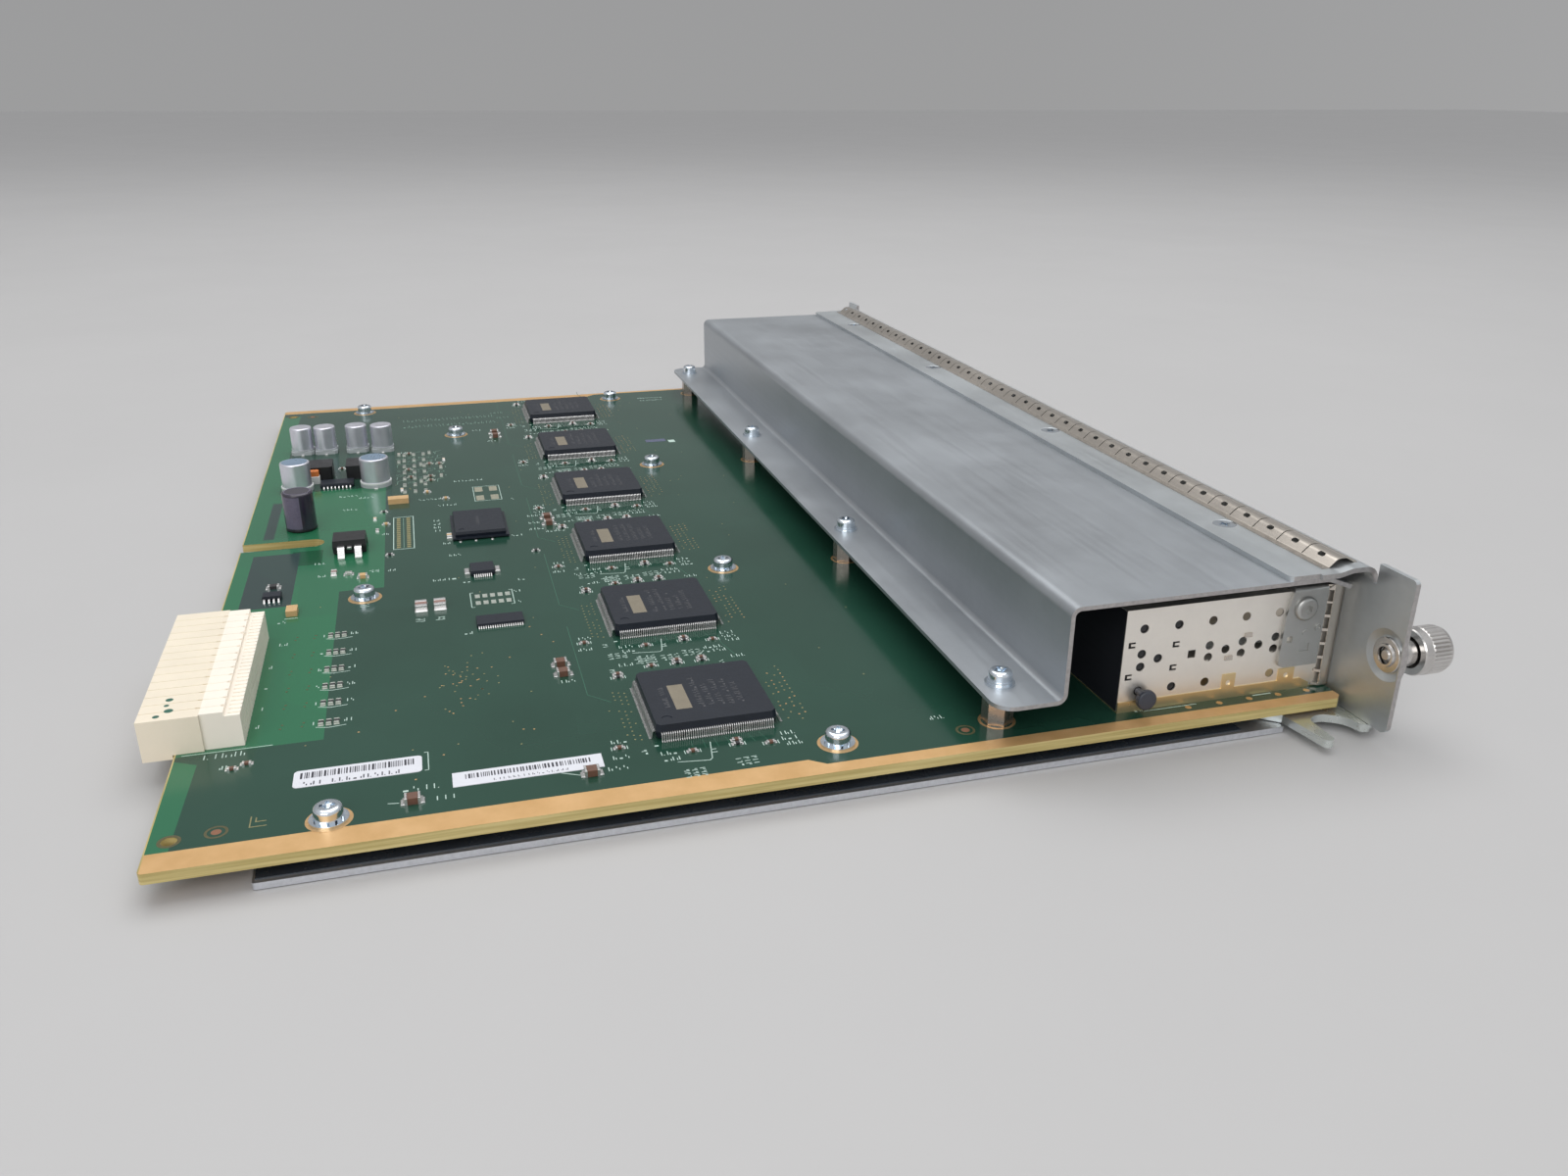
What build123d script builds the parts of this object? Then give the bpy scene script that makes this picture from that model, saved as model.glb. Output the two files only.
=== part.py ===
from build123d import *
import math
import os

# Switch line card: circuit board on a sheet-steel tray, a 48-port cage row
# under a folded cover, a folded faceplate with ears, captive thumbscrews and
# ejector levers.  Layout axes while modelling, in millimetres:
#   X along the faceplate, 0 at the left board edge, 355.6 at the right one
#   Y 0 at the rear board edge, negative towards the faceplate
#   Z 0 on the board's top face
# Every piece is moved by FRAME_SHIFT when it is written, so the finished part
# has its origin under its centre, on the plane it stands on.

# ---------------------------------------------------------------- dimensions
BOARD_W = 355.6
BOARD_L = 263.4
BOARD_T = 2.36
MID_X = BOARD_W / 2
BOARD_SLOT_W = 7.0
BOARD_SLOT_L = 24.5

TRAY_T = 1.5
TRAY_TOP = -5.6
TRAY_BOTTOM = TRAY_TOP - TRAY_T
TRAY_REAR = -19.0
TRAY_FRONT = -254.0
FILM_T = 0.25

SHEET_COVER = 1.0
COVER_FOOT_REAR = -172.65
COVER_FOOT_Z = 8.6
COVER_WALL_Y = -188.7
COVER_TOP_Z = 31.85

SHEET_FACE = 1.2
FACE_FRONT = -265.8
FACE_REAR = FACE_FRONT + SHEET_FACE
FACE_X0 = -0.8
FACE_X1 = BOARD_W + 0.8
STRIP_REAR = -242.8
STRIP_TOP = 33.05
RIDGE_RISE = 0.8
FLANGE_UNDER = -5.6
EAR_OUT = -13.5
EAR_IN = -2.0
EAR_Z0 = -3.3
EAR_Z1 = 34.8
EAR_RELIEF_Z = 29.85
LEVER_CUT_X = 22.0

BLOCKS = 4
BLOCK_X0 = 7.6
BLOCK_PITCH = 85.4
BLOCK_W = 84.2
COLUMNS = 6
SHELL_T = 0.3
CAGE_REAR = -206.8
CAGE_FRONT = -266.8
CAGE_TOP = 25.8
COLUMN_IN = (BLOCK_W - SHELL_T * (COLUMNS + 1)) / COLUMNS
COLUMN_PITCH = COLUMN_IN + SHELL_T
CHANNEL_Z0 = 10.2
CHANNEL_Z1 = 16.0

CHIP_SIZE = 28.0
CHIP_TOP = 3.65
CHIP_PITCH = 57.0
CHIP_X0 = 37.5
CHIP_Y = -115.5

SCREW_X = -8.9
SCREW_Z = 15.1
SHAFT_R = 1.7
BARREL_R = 3.3
BARREL_BORE_R = 2.75
KNOB_R = 5.7
FERRULE_R = 4.2
DIMPLE_DEPTH = 0.7

LEVER_PIVOT = (9.0, -250.0)
LEVER_Z0 = -5.4
LEVER_T = 2.0

REARMOST = 6.5
FOREMOST = -279.6
FRAME_SHIFT = Pos(-MID_X, -(REARMOST + FOREMOST) / 2, -TRAY_BOTTOM)

BOARD_SCREWS = [
    (10.0, -33.3), (126.7, -37.8), (298.2, -70.2), (345.6, -33.5),
    (11.8, -140.0), (122.1, -140.6), (235.0, -140.0), (343.8, -140.9),
]
COVER_SCREWS = [(11.9, -178.5), (120.0, -178.5), (231.6, -178.5), (344.7, -178.5)]
STRIP_SCREWS = [(36.0, -250.0), (129.4, -250.0), (226.2, -250.0), (319.6, -250.0)]
FLANGE_RIVETS = [(45.0, -248.0), (133.0, -248.0), (222.6, -248.0), (310.6, -248.0)]


# ------------------------------------------------------------------- helpers
def block(x0, x1, y0, y1, z0, z1):
    """Box between two corners."""
    return Pos((x0 + x1) / 2, (y0 + y1) / 2, (z0 + z1) / 2) * Box(
        abs(x1 - x0), abs(y1 - y0), abs(z1 - z0)
    )


def peg(x, y, z0, z1, r):
    """Upright cylinder."""
    return Pos(x, y, (z0 + z1) / 2) * Cylinder(r, abs(z1 - z0))


def peg_x(y, z, x0, x1, r):
    """Cylinder along X."""
    return Pos((x0 + x1) / 2, y, z) * Rot(0, 90, 0) * Cylinder(r, abs(x1 - x0))


def peg_y(x, z, y0, y1, r):
    """Cylinder along Y."""
    return Pos(x, (y0 + y1) / 2, z) * Rot(90, 0, 0) * Cylinder(r, abs(y1 - y0))


def opposite(shape):
    """The same piece at the other end of the card."""
    return mirror(shape, about=Plane.YZ.offset(MID_X))


def strip_outline(points, radii, t):
    """Closed outline of a bent sheet of thickness t along a centre line."""
    n = len(points)

    def unit(a, b):
        dx, dy = b[0] - a[0], b[1] - a[1]
        d = math.hypot(dx, dy)
        return dx / d, dy / d

    h = t / 2
    d = unit(points[0], points[1])
    starts = [(points[0][0] - d[1] * s, points[0][1] + d[0] * s) for s in (h, -h)]
    edges_left, edges_right = [], []
    last = list(starts)
    for i in range(1, n - 1):
        p = points[i]
        r = radii[i - 1]
        d1 = unit(points[i - 1], p)
        d2 = unit(p, points[i + 1])
        cross = d1[0] * d2[1] - d1[1] * d2[0]
        dot = d1[0] * d2[0] + d1[1] * d2[1]
        ang = math.atan2(abs(cross), dot)
        tl = r * math.tan(ang / 2)
        t1 = (p[0] - d1[0] * tl, p[1] - d1[1] * tl)
        t2 = (p[0] + d2[0] * tl, p[1] + d2[1] * tl)
        side = 1.0 if cross > 0 else -1.0
        c = (t1[0] - d1[1] * r * side, t1[1] + d1[0] * r * side)
        m = unit(c, p)
        for k, s in enumerate((h, -h)):
            rr = r - s * side
            a = (t1[0] - d1[1] * s, t1[1] + d1[0] * s)
            b = (t2[0] - d2[1] * s, t2[1] + d2[0] * s)
            q = (c[0] + m[0] * rr, c[1] + m[1] * rr)
            rows = edges_left if k == 0 else edges_right
            rows.append(Line(last[k], a))
            rows.append(ThreePointArc(a, q, b))
            last[k] = b
    d = unit(points[-2], points[-1])
    ends = [(points[-1][0] - d[1] * s, points[-1][1] + d[0] * s) for s in (h, -h)]
    edges_left.append(Line(last[0], ends[0]))
    edges_right.append(Line(last[1], ends[1]))
    cap0 = Line(starts[1], starts[0])
    cap1 = Line(ends[0], ends[1])
    return make_face([cap0] + edges_left + [cap1] + list(reversed(edges_right)))


def along_x(face, x0, x1):
    """Extrude a (Y, Z) outline from x0 to x1."""
    plane = Plane(origin=(x0, 0, 0), x_dir=(0, 1, 0), z_dir=(1, 0, 0))
    return extrude(plane * face, amount=x1 - x0)


def along_z(face, z0, z1):
    """Extrude an (X, Y) outline from z0 to z1."""
    return extrude(Pos(0, 0, z0) * face, amount=z1 - z0)


def turned(points, x, z):
    """Solid turned about a Y axis at x, z from (radius, y) points."""
    face = make_face(Polyline(*points, close=True))
    return Pos(x, 0, z) * revolve(face, Axis.Y)


def pan_screw(head_r, head_h, shank_r, shank_len):
    """Pan-head cross-recess screw, underside of the head at Z 0."""
    head = Pos(0, 0, head_h / 2) * Cylinder(head_r, head_h)
    head = fillet(head.edges().sort_by(Axis.Z)[-1], min(0.95, head_h * 0.45))
    arm = Pos(0, 0, head_h - 0.55) * Box(head_r * 1.05, 0.85, 1.15)
    recess = arm + Rot(0, 0, 90) * arm
    core = Pos(0, 0, head_h - 0.9) * Cone(0.35, 1.05, 1.85)
    shank = Pos(0, 0, -shank_len / 2) * Cylinder(shank_r, shank_len)
    return (head + shank) - recess - core


def lock_washer(r_out, r_in, t, teeth):
    """Toothed lock washer lying on Z 0."""
    body = Pos(0, 0, t / 2) * Cylinder(r_out, t) - Pos(0, 0, t / 2) * Cylinder(r_in, t * 3)
    notch = None
    for k in range(teeth):
        a = 360.0 * k / teeth
        n = Rot(0, 0, a) * Pos(r_out, 0, t / 2) * Rot(0, 0, 25) * Box(1.4, 0.45, t * 3)
        notch = n if notch is None else notch + n
    return body - notch


def at(shape, places, z):
    return [Pos(x, y, z) * shape for x, y in places]


def frustum(w, l, z0, z1, taper):
    """Moulded package half: rectangle at z0 drawn in towards z1."""
    return loft([
        Pos(0, 0, z0) * Rectangle(w, l),
        Pos(0, 0, z1) * Rectangle(w - 2 * taper, l - 2 * taper),
    ])


def package(w, l, z0, z1, taper=0.28):
    """Moulded chip body with its parting line at mid height."""
    mid = (z0 + z1) / 2
    return frustum(w, l, mid, z1, taper) + Pos(0, 0, 2 * mid) * (
        Rot(180, 0, 0) * frustum(w, l, mid, z1, taper)
    )


nodes = {}


def solids_of(shape):
    out = []
    for s in shape if isinstance(shape, (list, tuple)) else [shape]:
        out.extend(s.solids())
    return out


def put(name, shape):
    nodes[name] = solids_of(shape)


# -------------------------------------------------------------- circuit board
board = block(0, BOARD_W, -BOARD_L, 0, -BOARD_T, 0)
corner_cuts = []
for sx in (0, 1):
    for (cx, cy) in ((0.0, -BOARD_L),):
        tri = make_face(Polyline((cx - 1, cy - 1), (cx + 1.5, cy - 1), (cx + 1.5, cy), (cx, cy + 1.5),
                                 (cx - 1, cy + 1.5), close=True))
        cut = along_z(tri, -BOARD_T - 1, 1)
        corner_cuts.append(cut if sx == 0 else opposite(cut))
slot_r = BOARD_SLOT_W / 2
slot_cut = block(MID_X - slot_r, MID_X + slot_r, -BOARD_SLOT_L + slot_r, 1, -BOARD_T - 1, 1)
slot_cut += peg(MID_X, -BOARD_SLOT_L + slot_r, -BOARD_T - 1, 1, slot_r)
for c in corner_cuts:
    board -= c
board -= slot_cut
board_holes = [peg(x, y, -BOARD_T - 1, 1, 1.75) for x, y in BOARD_SCREWS]
board_holes += [peg(x, y, -BOARD_T - 1, 1, 2.05) for x, y in COVER_SCREWS]
board_holes += [peg(10.1, -4.1, -BOARD_T - 1, 1, 1.5), peg(BOARD_W - 10.1, -4.1, -BOARD_T - 1, 1, 1.5)]
for h in board_holes:
    board -= h
rear_corners = [e for e in board.edges().filter_by(Axis.Z)
                if abs(e.center().Y) < 0.01 and (e.center().X < 0.01 or e.center().X > BOARD_W - 0.01)]
board = fillet(rear_corners, 1.0)
put("circuit_board", board)

# ----------------------------------------------------------------- base tray
tray = block(0, BOARD_W, TRAY_FRONT, TRAY_REAR, TRAY_BOTTOM, TRAY_TOP)
tray -= block(-1, 4, TRAY_FRONT - 1, -247.7, TRAY_BOTTOM - 1, TRAY_TOP + 1)
tray -= block(BOARD_W - 4, BOARD_W + 1, TRAY_FRONT - 1, -247.7, TRAY_BOTTOM - 1, TRAY_TOP + 1)
for x, y in BOARD_SCREWS:
    tray -= peg(x, y, TRAY_BOTTOM - 1, TRAY_TOP + 1, 2.25)
for x, y in FLANGE_RIVETS:
    tray -= peg(x, y, TRAY_BOTTOM - 1, TRAY_TOP + 1, 1.65)
for x in (LEVER_PIVOT[0], BOARD_W - LEVER_PIVOT[0]):
    tray -= peg(x, LEVER_PIVOT[1], TRAY_BOTTOM - 1, TRAY_TOP + 1, 2.05)
tray_corners = [e for e in tray.edges().filter_by(Axis.Z)
                if abs(e.center().Y - TRAY_REAR) < 0.01]
tray = fillet(tray_corners, 0.6)
put("base_tray", tray)

# insulating film on the tray, cut out round each standoff
film = block(1.2, BOARD_W - 1.2, -236.8, TRAY_REAR - 0.5, TRAY_TOP, TRAY_TOP + FILM_T)
for x, y in BOARD_SCREWS:
    film -= peg(x, y, TRAY_TOP - 1, TRAY_TOP + 1, 4.4)
for x, y in FLANGE_RIVETS:
    film -= peg(x, y, TRAY_TOP - 1, TRAY_TOP + 1, 5.0)
put("tray_insulator", film)

standoff = peg(0, 0, TRAY_TOP, -BOARD_T, 3.1) + peg(0, 0, TRAY_BOTTOM + 0.1, TRAY_TOP, 2.2)
standoff -= peg(0, 0, TRAY_TOP - 0.9, 0, 1.5)
put("board_standoffs", at(standoff, BOARD_SCREWS, 0))

flat_washer = peg(0, 0, 0, 0.5, 3.9) - peg(0, 0, -1, 2, 1.6)
put("board_washers", at(flat_washer, BOARD_SCREWS, 0))
tooth_washer = lock_washer(3.05, 1.6, 0.55, 12)
put("board_lock_washers", at(tooth_washer, BOARD_SCREWS, 0.5))
board_screw = pan_screw(2.9, 2.3, 1.45, 7.2)
put("board_screws", [Pos(x, y, 1.05) * Rot(0, 0, 17 * i) * board_screw
                     for i, (x, y) in enumerate(BOARD_SCREWS)])

# --------------------------------------------------------------------- cover
cz = COVER_FOOT_Z + SHEET_COVER / 2
ct = COVER_TOP_Z - SHEET_COVER / 2
cover_line = [
    (COVER_FOOT_REAR, cz), (COVER_WALL_Y, cz), (COVER_WALL_Y, ct),
    (-253.4, ct), (-259.6, 28.95),
]
cover = along_x(strip_outline(cover_line, [2.0, 1.9, 3.0], SHEET_COVER), 0, BOARD_W)
for x, y in COVER_SCREWS:
    cover -= peg(x, y, COVER_FOOT_Z - 1, COVER_FOOT_Z + 2, 1.7)
for x, y in STRIP_SCREWS:
    cover -= peg(x, y, 29.5, 33, 2.1)
foot_corners = [e for e in cover.edges().filter_by(Axis.Z)
                if abs(e.center().Y - COVER_FOOT_REAR) < 0.01]
cover = fillet(foot_corners, 5.0)
put("cover", cover)

# insulating film lining the inside of the cover
wall_in = COVER_WALL_Y - SHEET_COVER / 2 - FILM_T / 2
roof_in = COVER_TOP_Z - SHEET_COVER - FILM_T / 2
lining = strip_outline([(wall_in, 11.2), (wall_in, roof_in), (-243.5, roof_in)],
                       [1.9 - SHEET_COVER / 2 - FILM_T / 2], FILM_T)
put("cover_insulator", along_x(lining, 0.8, BOARD_W - 0.8))

cover_standoff = extrude(RegularPolygon(3.67, 6), amount=COVER_FOOT_Z)
cover_standoff += peg(0, 0, -BOARD_T, 0, 2.0)
cover_standoff -= peg(0, 0, 1.2, COVER_FOOT_Z + 1, 1.5)
put("cover_standoffs", at(cover_standoff, COVER_SCREWS, 0))
cover_washer = peg(0, 0, 0, 0.45, 3.5) - peg(0, 0, -1, 2, 1.6)
put("cover_washers", at(cover_washer, COVER_SCREWS, COVER_FOOT_Z + SHEET_COVER))
put("cover_lock_washers", at(lock_washer(2.95, 1.6, 0.7, 1), COVER_SCREWS,
                             COVER_FOOT_Z + SHEET_COVER + 0.45))
cover_screw = pan_screw(2.75, 2.3, 1.45, 7.0)
put("cover_screws", [Pos(x, y, COVER_FOOT_Z + SHEET_COVER + 1.15) * Rot(0, 0, 31 * i) * cover_screw
                     for i, (x, y) in enumerate(COVER_SCREWS)])

# ----------------------------------------------------------------- faceplate
h = SHEET_FACE / 2
top_c = STRIP_TOP - h
ridge_c = top_c + RIDGE_RISE
bot_c = FLANGE_UNDER + h
low_c = bot_c - RIDGE_RISE
mid_face = FACE_FRONT + h
face_line = [
    (STRIP_REAR, top_c), (-255.3, top_c), (-258.7, ridge_c), (mid_face, ridge_c),
    (mid_face, low_c), (-258.7, low_c), (-255.3, bot_c), (STRIP_REAR, bot_c),
]
face_plate = along_x(strip_outline(face_line, [3, 3, 2.9, 2.9, 3, 3], SHEET_FACE), FACE_X0, FACE_X1)
# room under both ends for the ejector levers
lever_gap = block(FACE_X0 - 1, LEVER_CUT_X, -270, -240, -9, EAR_Z0)
face_plate -= lever_gap
face_plate -= opposite(lever_gap)
# the strip's flat rear part is cut back a little at both ends
strip_end = block(FACE_X0 - 1, 0.1, -250.6, STRIP_REAR + 1, STRIP_TOP - 1.6, STRIP_TOP + 1)
face_plate -= strip_end
face_plate -= opposite(strip_end)
strip_corners = [e for e in face_plate.edges().filter_by(Axis.Z)
                 if abs(e.center().Y - STRIP_REAR) < 0.01 and e.center().Z > 30]
face_plate = fillet(strip_corners, 1.6)
# ears, each with a bend relief at its top
ear = block(EAR_OUT, EAR_IN, FACE_FRONT, FACE_REAR, EAR_Z0, EAR_Z1)
ear += block(EAR_IN, FACE_X0, FACE_FRONT, FACE_REAR, EAR_Z0, EAR_RELIEF_Z)
ear_edges = [e for e in ear.edges().filter_by(Axis.Y) if abs(e.center().X - EAR_OUT) < 0.01]
ear = fillet([e for e in ear_edges if e.center().Z > 20], 1.2)
ear_edges = [e for e in ear.edges().filter_by(Axis.Y)
             if abs(e.center().X - EAR_OUT) < 0.01 and e.center().Z < 0]
ear = fillet(ear_edges, 2.0)
# dished towards the front round the thumbscrew, so its ferrule sits flush at the rear
dish_floor = FACE_REAR - DIMPLE_DEPTH
bulge = turned([(0, FACE_FRONT - DIMPLE_DEPTH), (4.9, FACE_FRONT - DIMPLE_DEPTH), (6.1, FACE_FRONT),
                (6.1, FACE_REAR - 0.2), (0, FACE_REAR - 0.2)], SCREW_X, SCREW_Z)
bulge &= block(EAR_OUT, FACE_X0, -270, -260, EAR_Z0, EAR_Z1)
ear += bulge
dish = turned([(0, FACE_REAR + 1), (6.25, FACE_REAR + 1), (6.25, FACE_REAR), (4.6, dish_floor), (0, dish_floor)],
              SCREW_X, SCREW_Z)
dish &= block(EAR_OUT + 0.35, FACE_X0, -270, -260, EAR_Z0, EAR_Z1)
ear -= dish
ear -= peg_y(SCREW_X, SCREW_Z, FACE_FRONT - 2, FACE_REAR + 1, BARREL_R + 0.05)
face_plate += ear
face_plate += opposite(ear)
# one window for each cage block
for i in range(BLOCKS):
    x0 = BLOCK_X0 + BLOCK_PITCH * i
    face_plate -= block(x0 - 0.1, x0 + BLOCK_W + 0.1, FACE_FRONT - 1, FACE_REAR + 1, -0.2, CAGE_TOP + 0.2)
for x, y in STRIP_SCREWS:
    face_plate -= peg(x, y, 30, 35, 1.7)
    face_plate -= Pos(x, y, STRIP_TOP - 0.55) * Cone(1.7, 3.1, 1.2)
for x, y in FLANGE_RIVETS:
    face_plate -= peg(x, y, FLANGE_UNDER - 1, FLANGE_UNDER + 2, 1.65)
put("faceplate", face_plate)

flat_head = Pos(0, 0, STRIP_TOP - 0.62) * Cone(1.55, 2.95, 1.1)
flat_head += peg(0, 0, 27.4, STRIP_TOP - 1.0, 1.45)
arm = Pos(0, 0, STRIP_TOP - 0.4) * Box(2.9, 0.7, 0.9)
flat_head -= arm
flat_head -= Rot(0, 0, 90) * arm
put("strip_screws", [Pos(x, y, 0) * Rot(0, 0, 23 * i) * flat_head for i, (x, y) in enumerate(STRIP_SCREWS)])
nut = peg(0, 0, 28.6, 30.85, 2.7) + peg(0, 0, 30.85, 31.75, 2.05) - peg(0, 0, 27, 33, 1.5)
put("cover_clinch_nuts", at(nut, STRIP_SCREWS, 0))
rivet = peg(0, 0, TRAY_BOTTOM + 0.05, -4.4, 1.6) + peg(0, 0, -4.4, -3.7, 2.6)
rivet = fillet(rivet.edges().sort_by(Axis.Z)[-1], 0.5)
put("flange_rivets", at(rivet, FLANGE_RIVETS, 0))

# -------------------------------------------------- spring-finger gaskets
GASKET_PITCH = 9.5
GASKET_X0, GASKET_X1 = 2.6, 353.0
top_line = [(-252.9, 33.15), (-254.7, 33.15), (-257.0, 35.2), (-259.2, 35.2), (-261.4, 33.95), (-262.2, 33.95)]
top_gasket = along_x(strip_outline(top_line, [0.5, 2.3, 2.3, 0.6], 0.18), GASKET_X0, GASKET_X1)
k = 0
while 7.6 + GASKET_PITCH * k < GASKET_X1 - 2:
    cx = 7.6 + GASKET_PITCH * k
    hole = Pos(cx, -256.4, 34.6) * Rot(-41, 0, 0) * extrude(SlotOverall(2.3, 1.2), amount=1.5, both=True)
    top_gasket -= hole
    if cx + 4.75 < GASKET_X1 - 2:
        top_gasket -= block(cx + 4.58, cx + 4.92, -263, -254.75, 32, 36)
    k += 1
put("top_emi_gasket", top_gasket)
low_line = [(-254.3, -5.7), (-255.2, -5.7), (-257.0, -6.9), (-259.9, -6.9), (-261.5, -6.5), (-262.4, -6.5)]
low_gasket = along_x(strip_outline(low_line, [0.5, 0.9, 0.9, 0.6], 0.18), 24.0, BOARD_W - 24.0)
k = 0
while 28.0 + GASKET_PITCH * k < BOARD_W - 26:
    cx = 28.0 + GASKET_PITCH * k
    if cx + 4.75 < BOARD_W - 26:
        low_gasket -= block(cx + 4.4, cx + 5.1, -263, -255.4, -8, -5)
    k += 1
put("bottom_emi_gasket", low_gasket)

# --------------------------------------------------------------- port cages
SIDE_HOLES = [(y, 20.85) for y in (-211.65, -220.65, -229.6, -238.55, -247.5)]
SIDE_HOLES += [(-211.7, 14.5), (-211.7, 11.25), (-216.1, 12.9), (-229.6, 14.5), (-229.6, 11.45),
               (-234.07, 13.0), (-238.47, 14.5), (-238.45, 11.45), (-243.0, 13.05),
               (-247.47, 14.54), (-247.34, 11.48)]
SIDE_HOLES += [(y, 5.05) for y in (-211.85, -220.68, -229.62, -247.38)]
HALF_TABS = [(-208.9, 17.0), (-220.5, 15.9), (-220.45, 10.0), (-208.9, 8.9)]
FLOOR_TABS = [(-234.3, -237.8, 6.4, -236.0, 4.1), (-249.8, -254.2, 5.8, -252.0, 4.0)]

floors, partitions, channels, backs, connectors, pipes = [], [], [], [], [], []
for i in range(BLOCKS):
    x0 = BLOCK_X0 + BLOCK_PITCH * i
    x1 = x0 + BLOCK_W
    shell = block(x0, x1, CAGE_FRONT, CAGE_REAR, SHELL_T, CAGE_TOP)
    shell -= block(x0 + SHELL_T, x1 - SHELL_T, CAGE_FRONT - 1, CAGE_REAR + 1, SHELL_T - 1, CAGE_TOP - SHELL_T)
    for y, z in SIDE_HOLES:
        shell -= peg_x(y, z, x0 - 1, x1 + 1, 1.1)
    shell -= block(x0 - 1, x1 + 1, -226.0, -224.0, 11.9, 13.9)
    for y, z in HALF_TABS:
        shell -= block(x0 - 1, x1 + 1, y - 0.9, y + 0.9, z - 0.75, z + 0.75)
    for c in range(COLUMNS):
        cx = x0 + SHELL_T + COLUMN_PITCH * c + COLUMN_IN / 2
        shell -= block(cx - 1.6, cx + 1.6, -257.5, -252.5, CAGE_TOP - 1, CAGE_TOP + 1)
        for yy in (-220.0, -230.0, -240.0):
            shell -= peg(cx, yy, CAGE_TOP - 1, CAGE_TOP + 1, 1.4)
    if i == 0:
        shell -= peg_x(-253.7, 21.6, x0 - 1, x0 + 0.8, 1.35)
    if i == BLOCKS - 1:
        shell -= peg_x(-253.7, 21.6, x1 - 0.8, x1 + 1, 1.35)
    put("cage_shell_" + "abcd"[i], shell)

    floor = block(x0, x1, CAGE_FRONT, CAGE_REAR, 0, SHELL_T)
    side = make_face(Polyline((CAGE_REAR, 0), (CAGE_REAR, 2.7), (-256.2, 2.7), (-258.9, 1.2), (-258.9, 0), close=True))
    floor += along_x(side, x0 - SHELL_T, x0)
    floor += along_x(side, x1, x1 + SHELL_T)
    for (ya, yb, zt, hy, hz) in FLOOR_TABS:
        for xa, xb in ((x0 - SHELL_T, x0), (x1, x1 + SHELL_T)):
            tab = block(xa, xb, yb, ya, 0, zt)
            tab -= peg_x(hy, hz, xa - 1, xb + 1, 0.7)
            floor += tab
    for c in range(COLUMNS):
        cx = x0 + SHELL_T + COLUMN_PITCH * c + COLUMN_IN / 2
        latch = make_face(Polyline((cx - 1.3, -262.0), (cx + 1.3, -262.0), (cx, -259.2), close=True))
        floor -= along_z(latch, -1, 1)
    floors.append(floor)

    backs.append(block(x0 + SHELL_T, x1 - SHELL_T, CAGE_REAR - SHELL_T, CAGE_REAR, SHELL_T, CAGE_TOP - SHELL_T))
    for c in range(COLUMNS - 1):
        px = x0 + SHELL_T + COLUMN_IN + COLUMN_PITCH * c
        wall = block(px, px + SHELL_T, CAGE_FRONT, CAGE_REAR - SHELL_T - 0.1, SHELL_T, CAGE_TOP - SHELL_T)
        partitions.append(wall)
    for c in range(COLUMNS):
        cx = x0 + SHELL_T + COLUMN_PITCH * c + COLUMN_IN / 2
        w = COLUMN_IN / 2 - 0.05
        ch = block(cx - w, cx + w, CAGE_FRONT + 0.2, -223.0, CHANNEL_Z0, CHANNEL_Z1)
        ch -= block(cx - w - 1, cx + w + 1, CAGE_FRONT + 0.2 + SHELL_T, -222.0,
                    CHANNEL_Z0 + SHELL_T, CHANNEL_Z1 - SHELL_T)
        for dx in (-3.2, 3.2):
            ch -= block(cx + dx - 1.15, cx + dx + 1.15, CAGE_FRONT - 1, CAGE_FRONT + 1.2, 11.95, 14.25)
        for zz in (CHANNEL_Z0 + 0.15, CHANNEL_Z1 - 0.15):
            latch = make_face(Polyline((cx - 1.3, -262.0), (cx + 1.3, -262.0), (cx, -259.2), close=True))
            ch -= along_z(latch, zz - 0.4, zz + 0.4)
        channels.append(ch)
        for dx in (-3.2, 3.2):
            rod = block(cx + dx - 1.05, cx + dx + 1.05, CAGE_FRONT - 0.1, -222.8, 12.05, 14.15)
            pipes.append(rod)
        con = block(cx - 6.6, cx + 6.6, -222.5, CAGE_REAR - SHELL_T - 0.2, SHELL_T, CAGE_TOP - SHELL_T - 0.2)
        for zc in (5.4, 20.7):
            nose = block(cx - 5.9, cx + 5.9, -226.6, -222.5, zc - 2.4, zc + 2.4)
            nose -= block(cx - 4.9, cx + 4.9, -227, -223.2, zc - 0.8, zc + 0.8)
            con += nose
        connectors.append(con)
put("cage_floors", floors)
put("cage_partitions", partitions)
put("cage_centre_channels", channels)
put("cage_rear_plates", backs)
put("port_connectors", connectors)
put("light_pipes", pipes)

# spring-finger collar round the front of the cage row, behind the faceplate
COLLAR_OUT = 1.05
cage_l = BLOCK_X0
cage_r = BLOCK_X0 + BLOCK_PITCH * (BLOCKS - 1) + BLOCK_W
arch = [(-259.75, 0.12), (-261.2, 0.92), (-262.9, 0.92), (-264.3, 0.12)]
top_run = along_x(Pos(0, CAGE_TOP) * strip_outline(arch, [0.7, 0.7], 0.22), cage_l - 0.9, cage_r + 0.9)
for n in range(49):
    sx = cage_l + 3.0 + 7.0 * n
    if sx < cage_r - 2:
        top_run -= block(sx, sx + 0.9, -261.0, -259, 25, 28)
side_arch = strip_outline([(cage_l - v, u) for u, v in arch], [0.7, 0.7], 0.22)
side_run = along_z(side_arch, 0.4, CAGE_TOP + 0.9)
for zz in (1.0, 4.6, 8.2, 11.8, 15.4, 19.0, 22.4):
    side_run -= block(cage_l - 2, cage_l + 0.5, -261.15, -259, zz, zz + 2.9)
collar = top_run + side_run + opposite(side_run)
put("cage_emi_collar", collar)

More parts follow.
